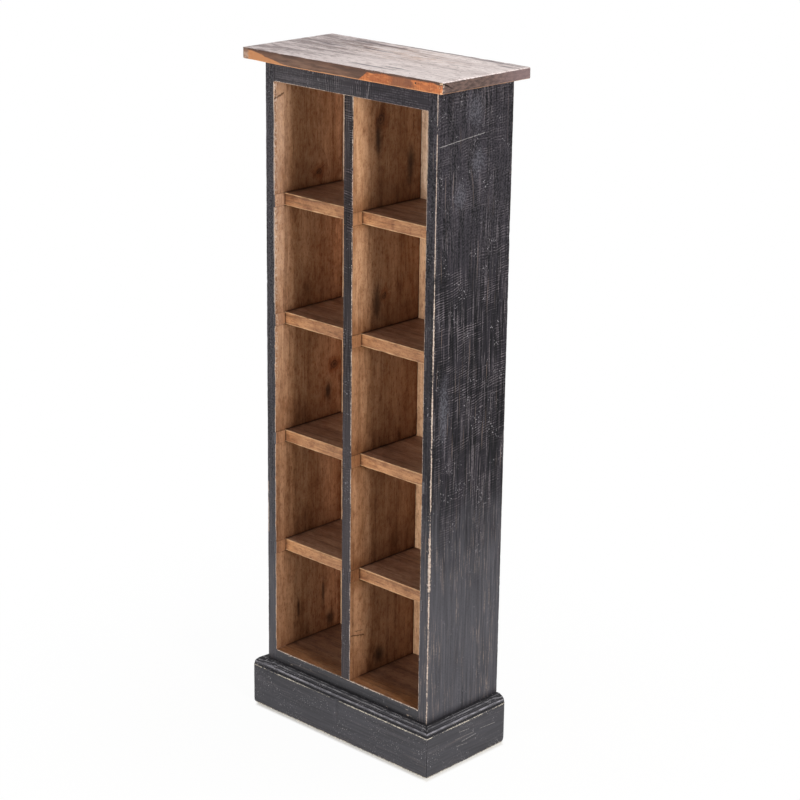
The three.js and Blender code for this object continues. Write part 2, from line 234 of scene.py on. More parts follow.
class Sock:
    """An output of a node. Every operator adds one Math node."""

    def __init__(self, nodes, socket):
        self.nodes, self.socket = nodes, socket

    def math(self, operation, first, second=0.0):
        return self.nodes.node("ShaderNodeMath", {"operation": operation}, {0: first, 1: second})

    def __add__(self, other):
        return self.math("ADD", self, other)

    def __sub__(self, other):
        return self.math("SUBTRACT", self, other)

    def __rsub__(self, other):
        return self.math("SUBTRACT", other, self)

    def __mul__(self, other):
        return self.math("MULTIPLY", self, other)

    def __truediv__(self, other):
        return self.math("DIVIDE", self, other)

    def __rtruediv__(self, other):
        return self.math("DIVIDE", other, self)

    def __abs__(self):
        return self.math("ABSOLUTE", self)

    __radd__ = __add__
    __rmul__ = __mul__

    def sine(self):
        return self.math("SINE", self)

    def least(self, other):
        return self.math("MINIMUM", self, other)

    def most(self, other):
        return self.math("MAXIMUM", self, other)

    def fade(self, low, high):
        """0 below low and 1 above high, with a smooth step between them; low may be the larger."""
        sockets = {"Value": self, "From Min": low, "From Max": high}
        return self.nodes.node("ShaderNodeMapRange", {"interpolation_type": "SMOOTHSTEP"}, sockets)

    def rise(self, low, high, start=0):
        """A fade between two places in millimetres from a start in metres."""
        return self.fade(start + low * MM, start + high * MM)

    def band(self, low, first, last, high):
        """1 between the middle two places and 0 outside the outer two, in millimetres."""
        return self.rise(low, first) * self.rise(high, last)


class Nodes:
    """The nodes of a material or of the surroundings."""

    def __init__(self, owner):
        owner.use_nodes = True
        self.tree = owner.node_tree

    def node(self, kind, settings=None, sockets=None, output=0):
        """One node of any type: settings first, then the values or links of its sockets."""
        made = self.tree.nodes.new(kind)
        for key, value in (settings or {}).items():
            setattr(made, key, value)
        for key, value in (sockets or {}).items():
            self.feed(made.inputs[key], value)
        return Sock(self, made.outputs[output])

    def feed(self, socket, value):
        """Links a Sock to a socket, or sets a plain value on it."""
        if isinstance(value, Sock):
            self.tree.links.new(value.socket, socket)
        elif hasattr(value, "__len__") and len(value) == 3 and len(socket.default_value) == 4:
            socket.default_value = (*value, 1)
        else:
            socket.default_value = value

    def ray(self, kind):
        """1 for rays of a kind, such as Camera or Glossy, and 0 for others."""
        return self.node("ShaderNodeLightPath", output=f"Is {kind} Ray")


class Finish(Nodes):
    """One material: its nodes, its shader and the textures that wood and paint are made of."""

    def __init__(self, name, axis=2, seed=0, **constants):
        self.material = bpy.data.materials.new(name)
        super().__init__(self.material)
        self.shader = self.tree.nodes["Principled BSDF"]
        for socket, value in constants.items():
            self.shader.inputs[socket.replace("_", " ")].default_value = value
        self.axis, self.seed = axis, seed
        self.place = self.node("ShaderNodeTexCoord", output="Object")
        self.parts = [self.node("ShaderNodeSeparateXYZ", sockets={0: self.place}, output=k) for k in range(3)]
        self.x, self.y, self.z = self.parts

    def vector(self, x, y, z):
        return self.node("ShaderNodeCombineXYZ", sockets={0: x, 1: y, 2: z})

    def mix(self, factor, first, second):
        """Colour that goes from the first to the second as the factor goes from 0 to 1."""
        return self.node("ShaderNodeMix", {"data_type": "RGBA"}, {0: factor, 6: first, 7: second}, output=2)

    def tint(self, colour, factor, other):
        """Colour multiplied by another one, by as much as the factor says."""
        settings = {"data_type": "RGBA", "blend_type": "MULTIPLY"}
        return self.node("ShaderNodeMix", settings, {0: factor, 6: colour, 7: other}, output=2)

    def cloud(self, across, along, detail, seed, rough=0.5, place=None, axis=None):
        """Noise from 0 to 1 in patches `across` mm wide and `along` mm long in the grain's direction."""
        scale = [1 / (across * MM)] * 3
        scale[self.axis if axis is None else axis] = 1 / (along * MM)
        shift = (self.seed * 3.7 + seed * 1.9, self.seed * 2.3 - seed * 5.1, seed * 7.7 - self.seed * 1.3)
        sockets = {"Vector": self.place if place is None else place, "Location": shift, "Scale": scale}
        moved = self.node("ShaderNodeMapping", {"vector_type": "POINT"}, sockets)
        sockets = {"Vector": moved, "Scale": 1.0, "Detail": detail, "Roughness": rough}
        return self.node("ShaderNodeTexNoise", {"noise_dimensions": "3D"}, sockets)

    def patch(self, centre, reach, face):
        """1 in the middle of an oval on the board's face, 0.5 on its rim and less outside:
        1 / (1 + a^2 + b^2), where a and b are the distances from its centre over its half widths."""
        a, b = ((self.parts[axis] - centre[k]) / reach[k] for k, axis in enumerate(face))
        return 1 / (a * a + b * b + 1)

    def arris(self, box):
        """Distance to the nearest arris of a box: the middle one of the distances to its pairs of faces."""
        middle, half = (box[0] + box[1]) / 2, (box[1] - box[0]) / 2
        a, b, c = (abs(self.parts[k] - middle[k]) * -1 + half[k] for k in range(3))
        return a.least(b).most(a.most(b).least(c))

    def done(self, colour, roughness, height, depth):
        """Ends the material: base colour, roughness, and a bump whose height of 1 stands for the depth."""
        self.feed(self.shader.inputs["Base Color"], colour)
        self.feed(self.shader.inputs["Roughness"], roughness)
        bump = self.node("ShaderNodeBump", sockets={"Height": height, "Distance": depth, "Strength": 1.0})
        self.feed(self.shader.inputs["Normal"], bump)
        return self.material


def swept(f, knots, face, across):
    """Place whose grain runs round the knots, and how far inside each knot a point is: the coordinate across
    the grain is drawn towards each knot's own by its oval's share, so that lines of grain part there and
    close again."""
    parts, ovals = list(f.parts), []
    for centre, reach in knots:
        oval = f.patch(centre, reach, face)
        parts[across] = parts[across] - (f.parts[across] - centre[face.index(across)]) * oval * 0.85
        ovals.append(oval)
    return (f.vector(*parts) if knots else f.place), ovals


def timber(f, tones, knots=(), stains=(), face=(1, 2), contrast=1.0, lit_and_paled=None, cracks=()):
    """Colour and height of bare old wood: broad figure, fibres, mottle, smudges, pores, knots with the grain
    swept round them, and dark stains. `tones` are its dark, middle and light colours, knots and stains are
    (centre, reach) ovals, cracks are (start, end, width), and an optional mask and colour make faces paler,
    partly as paled wood and partly as painted light falling in at the open front."""
    dark, middle, light = tones
    across = face[0] if face[1] == f.axis else face[1]
    place, ovals = swept(f, knots, face, across)
    figure = f.cloud(17, 150, 2, 1, place=place)
    bands = f.cloud(6, 200, 3, 3, place=place)
    fibres = f.cloud(2.2, 46, 3, 2, place=place)
    mottle = f.cloud(6, 10, 4, 6, rough=0.7)
    pores = f.cloud(1.6, 10, 1, 4, place=place)
    colour = f.mix(figure.fade(0.3, 0.7), middle, light)
    # Paler faces near the front: partly paled wood, partly painted light falling in at the open front.
    if lit_and_paled:
        colour = f.mix(lit_and_paled[0] * (mottle * 1.1 - 0.2), colour, lit_and_paled[1])
    colour = f.mix(bands.fade(0.5, 0.72) * 0.5 * contrast, colour, dark)
    colour = f.tint(colour, fibres.fade(0.45, 0.68) * 0.4 * contrast, (0.52, 0.43, 0.37))
    colour = f.tint(colour, mottle.fade(0.48, 0.7) * 0.6, (0.5, 0.37, 0.3))
    colour = f.mix(mottle.fade(0.46, 0.32) * 0.4, colour, light)
    specks = f.cloud(2.6, 3.4, 2, 27, rough=0.6)
    colour = f.tint(colour, specks.fade(0.54, 0.66) * 0.4, (0.6, 0.44, 0.34))
    smudges = f.cloud(15, 26, 3, 19, rough=0.6)
    colour = f.tint(colour, smudges.fade(0.48, 0.72) * 0.5 * contrast, (0.62, 0.5, 0.42))
    colour = f.tint(colour, pores.fade(0.6, 0.68) * 0.5, (0.4, 0.3, 0.24))
    height = fibres * -0.5 - pores.fade(0.55, 0.7) * 0.5 + bands * 0.3 + mottle * 0.3
    for oval in ovals:
        rings = (oval * 30 + fibres * 3 + mottle * 3).sine() * 0.5 + 0.5
        rim = oval + (mottle - 0.5) * 0.55 + (fibres - 0.5) * 0.25
        colour = f.tint(colour, rim.fade(0.12, 0.5) * 0.7, (0.66, 0.46, 0.34))
        core = rim.fade(0.5, 0.85)
        colour = f.mix(core * (0.35 + rings * 0.45), colour, linear(50, 29, 20))
        height = height + core * rings * 0.5
    for centre, reach in stains:
        soaked = (f.patch(centre, reach, face) + (bands - 0.5) * 0.5 + (mottle - 0.5) * 0.5).fade(0.22, 1.05)
        colour = f.mix(soaked * 0.85, colour, linear(48, 31, 22))
    for start, end, width in cracks:
        line = scratch(f, start, end, width, face, (mottle - 0.5) * 5 * MM)
        colour = f.tint(colour, line * 0.9, (0.16, 0.11, 0.09))
        height = height - line
    return f.tint(colour, 1.0, (1.06, 1.1, 1.18)), height


def grimed(f, colour, seed):
    """Wood under broad smudges of grime."""
    return f.tint(colour, f.cloud(24, 34, 4, seed).fade(0.45, 0.75) * 0.45, (0.56, 0.47, 0.42))


def dirt_and_shade_in_joints(f, colour, joints, floors=()):
    """Darkens the wood towards each joint, given as (axis, place): a dark line along the joint and painted
    shade in the corner round it, and painted shade low in each compartment, above the shelf tops.
    """
    gap = reduce(Sock.least, [abs(f.parts[axis] - float(place)) for axis, place in joints])
    patchy = f.cloud(8, 14, 3, 16)
    behind = f.y.rise(-3, 1, SHELF_FRONT) * 0.8 + 0.2
    if floors:
        # Painted shade low in each compartment, over about 75 mm above its floor.
        heights = [f.z - float(place) for place in floors]
        height = reduce(Sock.least, [above + above.rise(0, -0.1) for above in heights])
        shade_above_floors = (height + (patchy - 0.5) * 90 * MM).rise(75, -5)
        colour = f.tint(colour, shade_above_floors * 0.7, (0.62, 0.53, 0.47))
    # Painted shade in the corner, up to about 9 mm from the joint.
    colour = f.tint(colour, (gap + (patchy - 0.5) * 14 * MM).rise(9, 0) * 0.55 * behind, (0.5, 0.4, 0.34))
    # A dark line right in the joint.
    return f.tint(colour, gap.rise(1.7, 0.4) * 0.85 * behind, (0.26, 0.19, 0.15))


def wood_finish(name, tones, axis, box, seed, knots=(), face=(1, 2), edge=None, rough=0.5, contrast=1.0,
                joints=(), shaded=None, shade=(0.84, 0.98, 1.4)):
    """Bare waxed wood with arrises rubbed to the colour `edge`, and dirt and painted shade at its joints.
    `shaded` makes a mask of faces that are tinted with `shade`."""
    f = Finish(name, axis, seed, Specular_IOR_Level=0.4)
    colour, height = timber(f, tones, knots, face=face, contrast=contrast)
    colour = grimed(f, colour, 8)
    if shaded:
        colour = f.tint(colour, shaded(f), shade)
    if joints:
        colour = dirt_and_shade_in_joints(f, colour, joints)
    if edge:
        rub = f.cloud(3, 14, 3, 9)
        worn = (rub * 2.6 * MM - f.arris(box)).rise(0, 0.7)
        colour = f.mix(worn * 0.75, colour, edge)
        height = height - worn * 0.3
    return f.done(colour, f.cloud(6, 40, 2, 10) * 0.3 + (rough - 0.15), height, 0.35 * MM)


def rubbed_line(f, ends, width, reach, grit, patchy):
    """1 along an arris where the paint is worn off, in a ragged line that thins out and breaks, with flecks
    beside it. `ends` gives the two coordinates that stay the same along the arris, as {axis: place}, and
    `reach` where it starts and stops."""
    away = [abs(f.parts[axis] - float(place)) for axis, place in ends.items()]
    away = away[0].most(away[1])
    line = (patchy.fade(0.2, 0.6) * 0.8 * width + grit * 0.7 * width - 0.15 * width - away).rise(0, 0.5)
    line = line.most((grit - 0.58 - away * (0.06 / width)).fade(0, 0.05) * 0.6)
    if reach:
        line = line * f.parts[f.axis].rise(0, 2, reach[0]) * f.parts[f.axis].rise(0, -2, reach[1])
    return line


def old_paint(f, tones, grit, face, across=0, slope=0.0, saw=1.0, coarse=1.0, knots=(), smooth=None):
    """Colour, height and roughness of charcoal paint brushed thinly over rough-sawn boards. `tones` are its
    dark and plain colours. Saw ridges are the sine of the place along the board, plus `slope` of the place
    across it; `saw` is their strength, as a number or a function. Fibres rubbed to bare wood show through,
    more so the higher `coarse`, and turn round the knots. Below the heights in `smooth` the paint is plainer
    and greyer."""
    rubbed = tuple(finishes().rubbed)
    place, ovals = swept(f, knots, face, across)
    mottle = f.cloud(22, 50, 4, 1)
    brushed = f.cloud(4.6, 110, 2, 2, place=place)
    fibres = f.cloud(2.4, 74, 2, 3, place=place)
    strands = f.cloud(2.4, 60, 2, 12, place=place)
    tone = (brushed * 0.4 + fibres * 0.4 + mottle * 0.2 - 0.5) * coarse + 0.5
    colour = f.mix(tone.fade(0.42, 0.59), *tones)
    run = f.parts[f.axis] + f.parts[across] * slope + (f.cloud(80, 80, 2, 4) - 0.5) * 20 * MM
    jitter = f.cloud(9, 9, 2, 13)
    ridges = (run * (2 * math.pi / SAW_PITCH) + jitter * 5).sine() * 0.5 + 0.5
    sawn = f.cloud(34, 50, 2, 6).fade(0.38, 0.56) * (saw(f) if callable(saw) else saw)
    light = 0.35 + f.cloud(30, 120, 2, 7).fade(0.38, 0.6) * 0.65
    flecks = f.cloud(2.6, 2.4, 1, 14).fade(0.66, 0.74) * f.cloud(26, 30, 2, 18).fade(0.5, 0.62)
    if smooth:
        calm = (f.z + (mottle - 0.5) * 260 * MM).fade(*smooth)
        plain = f.mix((tone * 0.4 + 0.3).fade(0.4, 0.6), linear(56, 55, 59), linear(82, 81, 86))
        colour = f.mix(calm, plain, colour)
        sawn, light = sawn * calm, light * (0.45 + calm * 0.55)
        flecks = flecks * (calm * 0.75 + 0.25)
    for oval in ovals:
        sawn = sawn * (1 - oval.fade(0.35, 0.65))
    # Hollows of the saw marks darkened as painted shade, with paint lying thicker there; crests flecked
    # lighter where the paint is rubbed, partly as painted highlight.
    colour = f.tint(colour, ridges.fade(0.5, 0.1) * sawn * 0.65, (0.42, 0.4, 0.42))
    strokes = f.cloud(46, 6, 2, 5).fade(0.4, 0.62)
    dots = ridges.fade(0.5, 0.95) * sawn * strokes * (0.2 + fibres.fade(0.47, 0.6) * 0.8)
    lines = strands.fade(0.56, 0.65) * light * coarse * (0.45 + grit.fade(0.38, 0.58) * 0.75)
    colour = f.mix((dots * 0.4 + lines * 0.3).least(0.6), colour, linear(132, 124, 128))
    warm = f.cloud(3.0, 100, 1, 17, place=place).fade(0.67, 0.74) * light * coarse
    colour = f.mix(warm * 0.3, colour, rubbed)
    if smooth:
        threads = f.cloud(2.2, 44, 2, 21).fade(0.54, 0.66) * f.cloud(22, 90, 2, 22).fade(0.42, 0.56)
        threads = threads * (1 - calm) * (0.12 + grit.fade(0.4, 0.6) * 0.4)
        colour = f.mix(threads, colour, linear(144, 130, 122))
        colour = f.tint(colour, (1 - calm) * grit.fade(0.5, 0.66) * 0.5, (0.72, 0.71, 0.72))
    for oval in ovals:
        core = (oval + (mottle - 0.5) * 0.9 + (grit - 0.5) * 0.5).fade(0.3, 0.95)
        dotted = f.mix(grit.fade(0.4, 0.62), linear(56, 55, 60), linear(96, 95, 102))
        colour = f.mix(core * 0.65, colour, dotted)
    colour = f.mix(flecks * 0.6 * (0.3 + 0.7 * coarse), colour, linear(172, 168, 172))
    height = brushed * 0.3 + fibres * -0.35 - lines * 0.3 + ridges * sawn * 0.8 + grit * 0.15
    return colour, height, 0.55 + mottle * 0.14


def exposed_wood(f, grit, tones, knots=(), stains=(), cracks=(), face=(1, 2), joints=(), floors=(),
                 lit_and_paled=None, deep=None, patches=0.0):
    """Colour and height of a painted board's bare faces. An optional mask and colour make faces paler near
    the front, partly as paled wood and partly as painted light falling in there. With them come painted shade
    low down, strongest in front, and a speckled crust of dirt and paint on the left wall's front edge. `deep`
    tints the wood towards the rear, on the left wall as painted light bounced off the pale back. `patches` is
    the strength of brown patches near the front, round the right-hand shelves."""
    colour, height = timber(f, tones, knots, stains, face, lit_and_paled=lit_and_paled and lit_and_paled(f), cracks=cracks)
    colour = grimed(f, colour, 15)
    if lit_and_paled:
        # Painted shade: the walls darker low down, most of all near the front.
        front_share = f.y.rise(40, 20, FRONT) * 0.5 + 0.35
        colour = f.tint(colour, f.z.rise(680, 180) * front_share, (0.66, 0.6, 0.56))
        crust = f.y.rise(8, 2, FRONT) * f.z.rise(430, 560) * f.x.rise(-60, -100)
        colour = f.tint(colour, crust * grit.fade(0.47, 0.37) * 0.6, (0.56, 0.46, 0.4))
        colour = f.mix(crust * grit.fade(0.5, 0.62) * 0.6, colour, tuple(finishes().cream))
    if deep:
        # Painted light on the left wall: its rear lightened where light bounced off the pale back falls.
        colour = f.tint(colour, f.y.rise(-15, 70), deep)
    if patches:
        away = reduce(Sock.least, [abs(f.z - (float(place) - 6 * MM)) for place in shelf_tops("right")[:-1]])
        cloudy = f.cloud(14, 34, 3, 28)
        brown = cloudy.fade(0.52, 0.68) * 0.6 + (away + (cloudy - 0.5) * 40 * MM).rise(34, 10)
        shown = f.y.rise(44, 30, FRONT) * f.x.rise(-12, 0)
        colour = f.tint(colour, brown.least(1.0) * shown * patches, (0.62, 0.53, 0.43))
    if joints:
        colour = dirt_and_shade_in_joints(f, colour, joints, floors)
    return colour, height


def painted_finish(name, axis, seed, tones, face=(0, 2), gloss=0.25, worn_at=(), line_tones=None,
                   scratches=(), extra=None, bare=None, wood=None, **coat):
    """A painted board: old paint with the settings in `coat`, worn off the arrises in `worn_at`, a list of
    (ends, width, reach), down to the dark and light `line_tones`, and with scratches. `extra` adds marks of
    its own, `bare` makes a mask of unpainted faces, `wood` has their settings, and `gloss` is the paint's
    specular level."""
    f = Finish(name, axis, seed, Specular_IOR_Level=gloss)
    rubbed, cream = tuple(finishes().rubbed), tuple(finishes().cream)
    grit = f.cloud(2.2, 2.6, 2, 8)
    colour, height, rough = old_paint(f, tones, grit, face, **coat)
    if worn_at:
        patchy = f.cloud(6, 45, 3, 9)
        worn = reduce(Sock.most, [rubbed_line(f, *line, grit, patchy) for line in worn_at])
        colour = f.mix(worn * 0.9, colour, f.mix(grit.fade(0.4, 0.6), *(line_tones or (rubbed, cream))))
        height = height - worn * 0.5
        rough = rough + worn * 0.15
    for start, end, width, level in scratches:
        line = scratch(f, start, end, width, face, (grit - 0.5) * 1.2 * MM)
        line = line * (0.35 + grit.fade(0.35, 0.6) * 0.6)
        colour = f.mix(line, colour, linear(level, level - 4, level - 5))
    if extra:
        colour, rough = extra(f, colour, rough, grit)
    if bare:
        cover = bare(f, (f.cloud(2.5, 8, 3, 11) - 0.5) * 2.4 * MM)
        wood_colour, wood_height = exposed_wood(f, grit, **wood)
        lip = (cover * (1 - cover) * 4).least(1.0)
        colour = f.mix(cover.fade(0.35, 0.65), colour, wood_colour)
        colour = f.mix(lip * 0.55, colour, cream)
        height = height * (1 - cover) + wood_height * cover * 0.6
        rough = rough * (1 - cover) + cover * 0.5
    return f.done(colour, rough, height, 0.3 * MM)


def scratch(f, start, end, width, face, wander=0.0):
    """1 along the line between two places on a face, which wanders sideways, and 0 a width away from it."""
    start, end = np.array(start), np.array(end)
    length = float(np.linalg.norm(end - start))
    heading = (end - start) / length
    a, b = f.parts[face[0]] - float(start[0]), f.parts[face[1]] - float(start[1])
    run = a * float(heading[0]) + b * float(heading[1])
    off = abs(a * float(-heading[1]) + b * float(heading[0]) + wander)
    reach = abs(run - length / 2)
    return off.fade(width, 0) * reach.fade(length / 2, length / 2 * 0.9)


class TowerShape(bpy.types.PropertyGroup):
    """Sizes that wear the boards."""

    arris: FloatProperty(
        name="Arris radius", description="Rounding of a painted board's arrises", default=0.9 * MM,
        unit="LENGTH",
    )
    soft_arris: FloatProperty(
        name="Shelf arris radius", description="Rounding of the shelves' arrises", default=0.8 * MM,
        unit="LENGTH",
    )
    nicks: IntProperty(name="Nicks", description="Nicks for each metre of a worn arris", default=14, min=0)


def panel_colour(name, description, *levels):
    """A colour that the panel shows, from levels of 0 to 255."""
    return FloatVectorProperty(name=name, description=description, subtype="COLOR", default=linear(*levels))


class TowerFinish(bpy.types.PropertyGroup):
    """Colours of worn paint and of the woods."""

    rubbed: panel_colour("Rubbed fibres", "Fibres rubbed through the paint", 158, 138, 126)
    cream: panel_colour("Worn arris", "Bare wood on a worn arris", 208, 190, 174)
    wall_dark: panel_colour("Wall, dark", "Dark grain inside", 116, 80, 54)
    wall: panel_colour("Wall", "Wood inside the compartments", 152, 110, 76)
    wall_light: panel_colour("Wall, light", "Light grain inside", 180, 138, 102)
    shelf_dark: panel_colour("Shelf, dark", "Dark grain of the shelves", 106, 68, 42)
    shelf: panel_colour("Shelf", "Wood of the shelves", 150, 102, 66)
    shelf_light: panel_colour("Shelf, light", "Light grain of the shelves", 182, 132, 88)


class TowerStage(bpy.types.PropertyGroup):
    """Studio light and camera."""

    key: FloatProperty(name="Key light", description="Power of the right lamp", default=54, unit="POWER")
    fill: FloatProperty(name="Fill light", description="Power of the front lamp", default=56, unit="POWER")
    top: FloatProperty(name="Top light", description="Power of the lamp overhead", default=22, unit="POWER")
    ambient: FloatProperty(name="Ambient", description="Strength of the white surroundings", default=0.32)
    lens: FloatProperty(name="Lens", description="Focal length", default=102.15, unit="CAMERA")


# Places of the boards, read off the CAD frame

FRONT, REAR = span("side_panel_left", 1)
MIDDLE = (span("side_panel_left", 0)[0] + span("side_panel_right", 0)[1]) / 2
SIDE = span("side_panel_right", 0)
DIVIDER = span("centre_divider", 0)
SHELF_FRONT = span("shelf_left_1", 1)[0]
BACK_FACE = span("back_board_1", 1)[0] - GLUE_LINE
FLOOR = span("floor_board", 2)
RAIL = span("top_rail", 2)
RAIL_REAR = span("top_rail", 1)[1] + GLUE_LINE
SUB_TOP = span("sub_top", 2)
HOUSING = span("shelf_right_1", 0)[1] + GLUE_LINE
HOUSING_DEPTH = HOUSING - SIDE[0]
DIVIDER_ROOM = (DIVIDER[0] - GLUE_LINE, DIVIDER[1] + GLUE_LINE)
RABBET = span("back_board_3", 0)[1] + GLUE_LINE
SAW_PITCH = 3.5 * MM


def shelf_steps(*columns):
    """Lowest and highest place of every shelf housing of these columns."""
    return [
        span(f"shelf_{column}_{number}", 2)[k] + (2 * k - 1) * GLUE_LINE
        for column in columns
        for number in SHELVES
        for k in (0, 1)
    ]


def within(at, steps):
    """True where a place lies in one of the spans that the steps give in pairs."""
    steps = np.array(steps).reshape(-1, 2)
    return ((at[:, None] > steps[:, 0]) & (at[:, None] < steps[:, 1])).any(1)


def ring_at(at, *points):
    """Outline at every place along a board, from corners given as numbers or as arrays over the places."""
    return np.stack([np.stack(np.broadcast_arrays(*point, at)[:2], -1) for point in points], 1)


def side_corners(hand):
    """Outline of a side panel at every height, as a function. Its inner face steps back at each housing,
    behind the shelf fronts only for the floor board and the sub-top, and a rabbet takes its rear inner
    corner."""

    def corners(at):
        through = within(at, shelf_steps(COLUMNS[hand > 0]))
        floor = within(at, [FLOOR[0] - GLUE_LINE, FLOOR[1] + GLUE_LINE])
        head = at > SUB_TOP[0] - GLUE_LINE
        front = np.where(through, HOUSING, SIDE[0])
        rear = np.where(through | floor | head, HOUSING, SIDE[0])
        stop = np.where(head, RAIL_REAR, SHELF_FRONT)
        rabbet = np.where(at > FLOOR[0] - GLUE_LINE, RABBET, SIDE[0] + 2 * MM)
        ring = ring_at(
            at, (front, FRONT), (SIDE[1], FRONT), (SIDE[1], REAR), (rabbet, REAR), (rabbet, BACK_FACE),
            (rear, BACK_FACE), (rear, stop + 0.4 * MM), (front, stop),
        )
        if hand > 0:
            return ring
        return np.stack([2 * MIDDLE - ring[:, ::-1, 0], ring[:, ::-1, 1]], -1)

    return corners


def oval_rows(*rows):
    """Ovals as (centre, reach), from rows of two coordinates and two half widths in millimetres."""
    return [((a * MM, b * MM), (c * MM, d * MM)) for a, b, c, d in rows]


def line_rows(*rows):
    """Lines as (start, end, width) from rows in millimetres, and a level of grey if a row ends with one."""
    return [((a * MM, b * MM), (c * MM, d * MM), width * MM, *level) for a, b, c, d, width, *level in rows]


RIGHT_KNOTS = oval_rows((9.6, 831, 13, 19), (-23, 790, 10, 16), (3, 902, 14, 21), (-47, 512, 9, 46))
RIGHT_SCRATCHES = line_rows((-65, 860, 24, 868, 0.7, 170), (3, 106, 4, 71, 0.9, 14))
RAIL_SCRATCHES = line_rows((36.8, 905, 42, 931, 1.6, 132))
PLINTH_SCRATCHES = line_rows(  # on the right board's face
    (-20, 47, 2, 45, 1.0, 128), (-28, 38, 12, 37, 0.8, 116), (-14, 31, 16, 33, 1.0, 138),
    (-24, 27, -2, 25, 0.8, 120), (22, 38, 56, 36, 0.8, 124),
)
WALL_MARKS = {
    "knots": oval_rows((16.5, 771, 8, 7), (47, 489, 11, 9)),
    "stains": oval_rows((26, 148, 4, 24), (-24, 138, 3, 18), (34, 452, 6, 14), (40, 102, 10, 12)),
    "cracks": line_rows((-69, 881, -49, 887, 2.2), (-66, 894, -63, 883, 1.4), (8, 766, 27, 779, 0.7)),
    # painted light bounced off the back onto the rear of the left wall
    "deep": (1.6, 1.65, 1.8),
}
DIVIDER_MARKS = {
    "knots": oval_rows((-15.8, 868, 9, 11), (-6, 629, 7, 7)),
    "stains": oval_rows((-21, 842, 5, 24), (42, 800, 8, 30), (-20, 622, 9, 30), (-9, 106, 13, 14)),
    "cracks": line_rows(
        (35, 682, 36, 650, 0.9), (-66, 152, -38, 147, 1.8), (-58, 157, -42, 155, 0.9),
        (42, 150, 43, 118, 0.8), (47, 868, 47, 846, 0.7),
    ),
    "patches": 0.75,
}
# Dark and plain colour of the paint on each board
SIDE_PAINT = linear(14, 13, 16), linear(42, 39, 44)
FRONT_PAINT = linear(25, 21, 22), linear(52, 46, 47)
RAIL_PAINT = linear(42, 39, 42), linear(68, 65, 69)
FLOOR_PAINT = linear(46, 45, 48), linear(70, 69, 72)
PLINTH_PAINT = linear(46, 45, 48), linear(67, 66, 71)


def finishes():
    """Colours that the panel shows."""
    return bpy.context.scene.tower_finish


def panel_tones(wood):
    """Dark, middle and light colour of the walls or the shelves, as the panel has them."""
    return [tuple(getattr(finishes(), name)) for name in (f"{wood}_dark", wood, f"{wood}_light")]


def walls_lit_and_paled(f):
    """Wall faces made paler near the open front and mostly high up, and their colour: partly paled wood and
    partly painted light where the light falls in.
    """
    shown = f.y.rise(40, 4, FRONT) * (0.25 + f.z.rise(430, 780) * 0.75)
    return shown, f.mix(f.x.rise(-100, -10), linear(214, 184, 158), linear(226, 180, 136))


def shelf_tops(*columns):
    """Heights of the shelf tops of these columns, and of the floor board."""
    return [span(f"shelf_{column}_{number}", 2)[1] for column in columns for number in SHELVES] + [FLOOR[1]]


def wall_joints(*columns):
    """Joints on a wall: with the shelves of these columns, the floor board, the rail and the back."""
    return [(2, place) for place in (*shelf_steps(*columns), FLOOR[1], RAIL[0])] + [(1, BACK_FACE)]


def side_saw(f):
    """Saw marks on a side, deepest at half its height, and hardly any on its front edge."""
    deep = f.z.band(400, 520, 640, 760)
    return (f.y.rise(0, 3, FRONT) * 0.85 + 0.15) * (0.7 + deep * 0.6)


def divider_marks(f, colour, rough, grit):
    """The divider's front edge is rubbed grey below, and darker and browner in the middle of its upper
    half."""
    colour = f.mix(f.z.rise(540, 400) * (0.16 + grit * 0.24), colour, linear(90, 84, 87))
    upper = f.z.band(700, 760, 800, 850)
    return f.tint(colour, upper * 0.6, (0.78, 0.64, 0.64)), rough


def filler_marks(f, colour, rough, grit):
    """The fillers' front ends go with the front edges that they are let into."""
    colour, rough = divider_marks(f, colour, rough, grit)
    side = abs(f.x - float(MIDDLE)).rise(60, 100)
    return f.mix(side * (0.3 + f.z.rise(500, 380) * 0.4), colour, linear(84, 82, 85)), rough


def divider_saw(f):
    """Saw marks across the divider's front edge, mostly high up."""
    return 0.45 + f.z.rise(640, 760) * 2


def foot_dirt_and_shade(f, colour, rough, grit):
    """Painted shade, with dirt and dark polish, in the corner above the plinth."""
    # Painted shade, with dirt, darkening down towards the plinth's top.
    return f.tint(colour, (f.z + grit * 4 * MM).rise(83, 71) * 0.8, (0.3, 0.29, 0.3)), rough


def side_marks(f, colour, rough, grit):
    """Front edges and the upper part rubbed greyer, and painted shade with dirt above the plinth."""
    edge = f.y.rise(1.6, 0.8, FRONT)
    edge = edge * (0.35 + f.x.rise(100, -100) * 0.65)
    colour = f.mix(edge * (0.12 + grit.fade(0.36, 0.64) * 0.52), colour, linear(78, 76, 79))
    colour = f.mix(f.z.rise(620, 780) * grit.fade(0.42, 0.62) * 0.3, colour, linear(84, 80, 86))
    return foot_dirt_and_shade(f, colour, rough, grit)


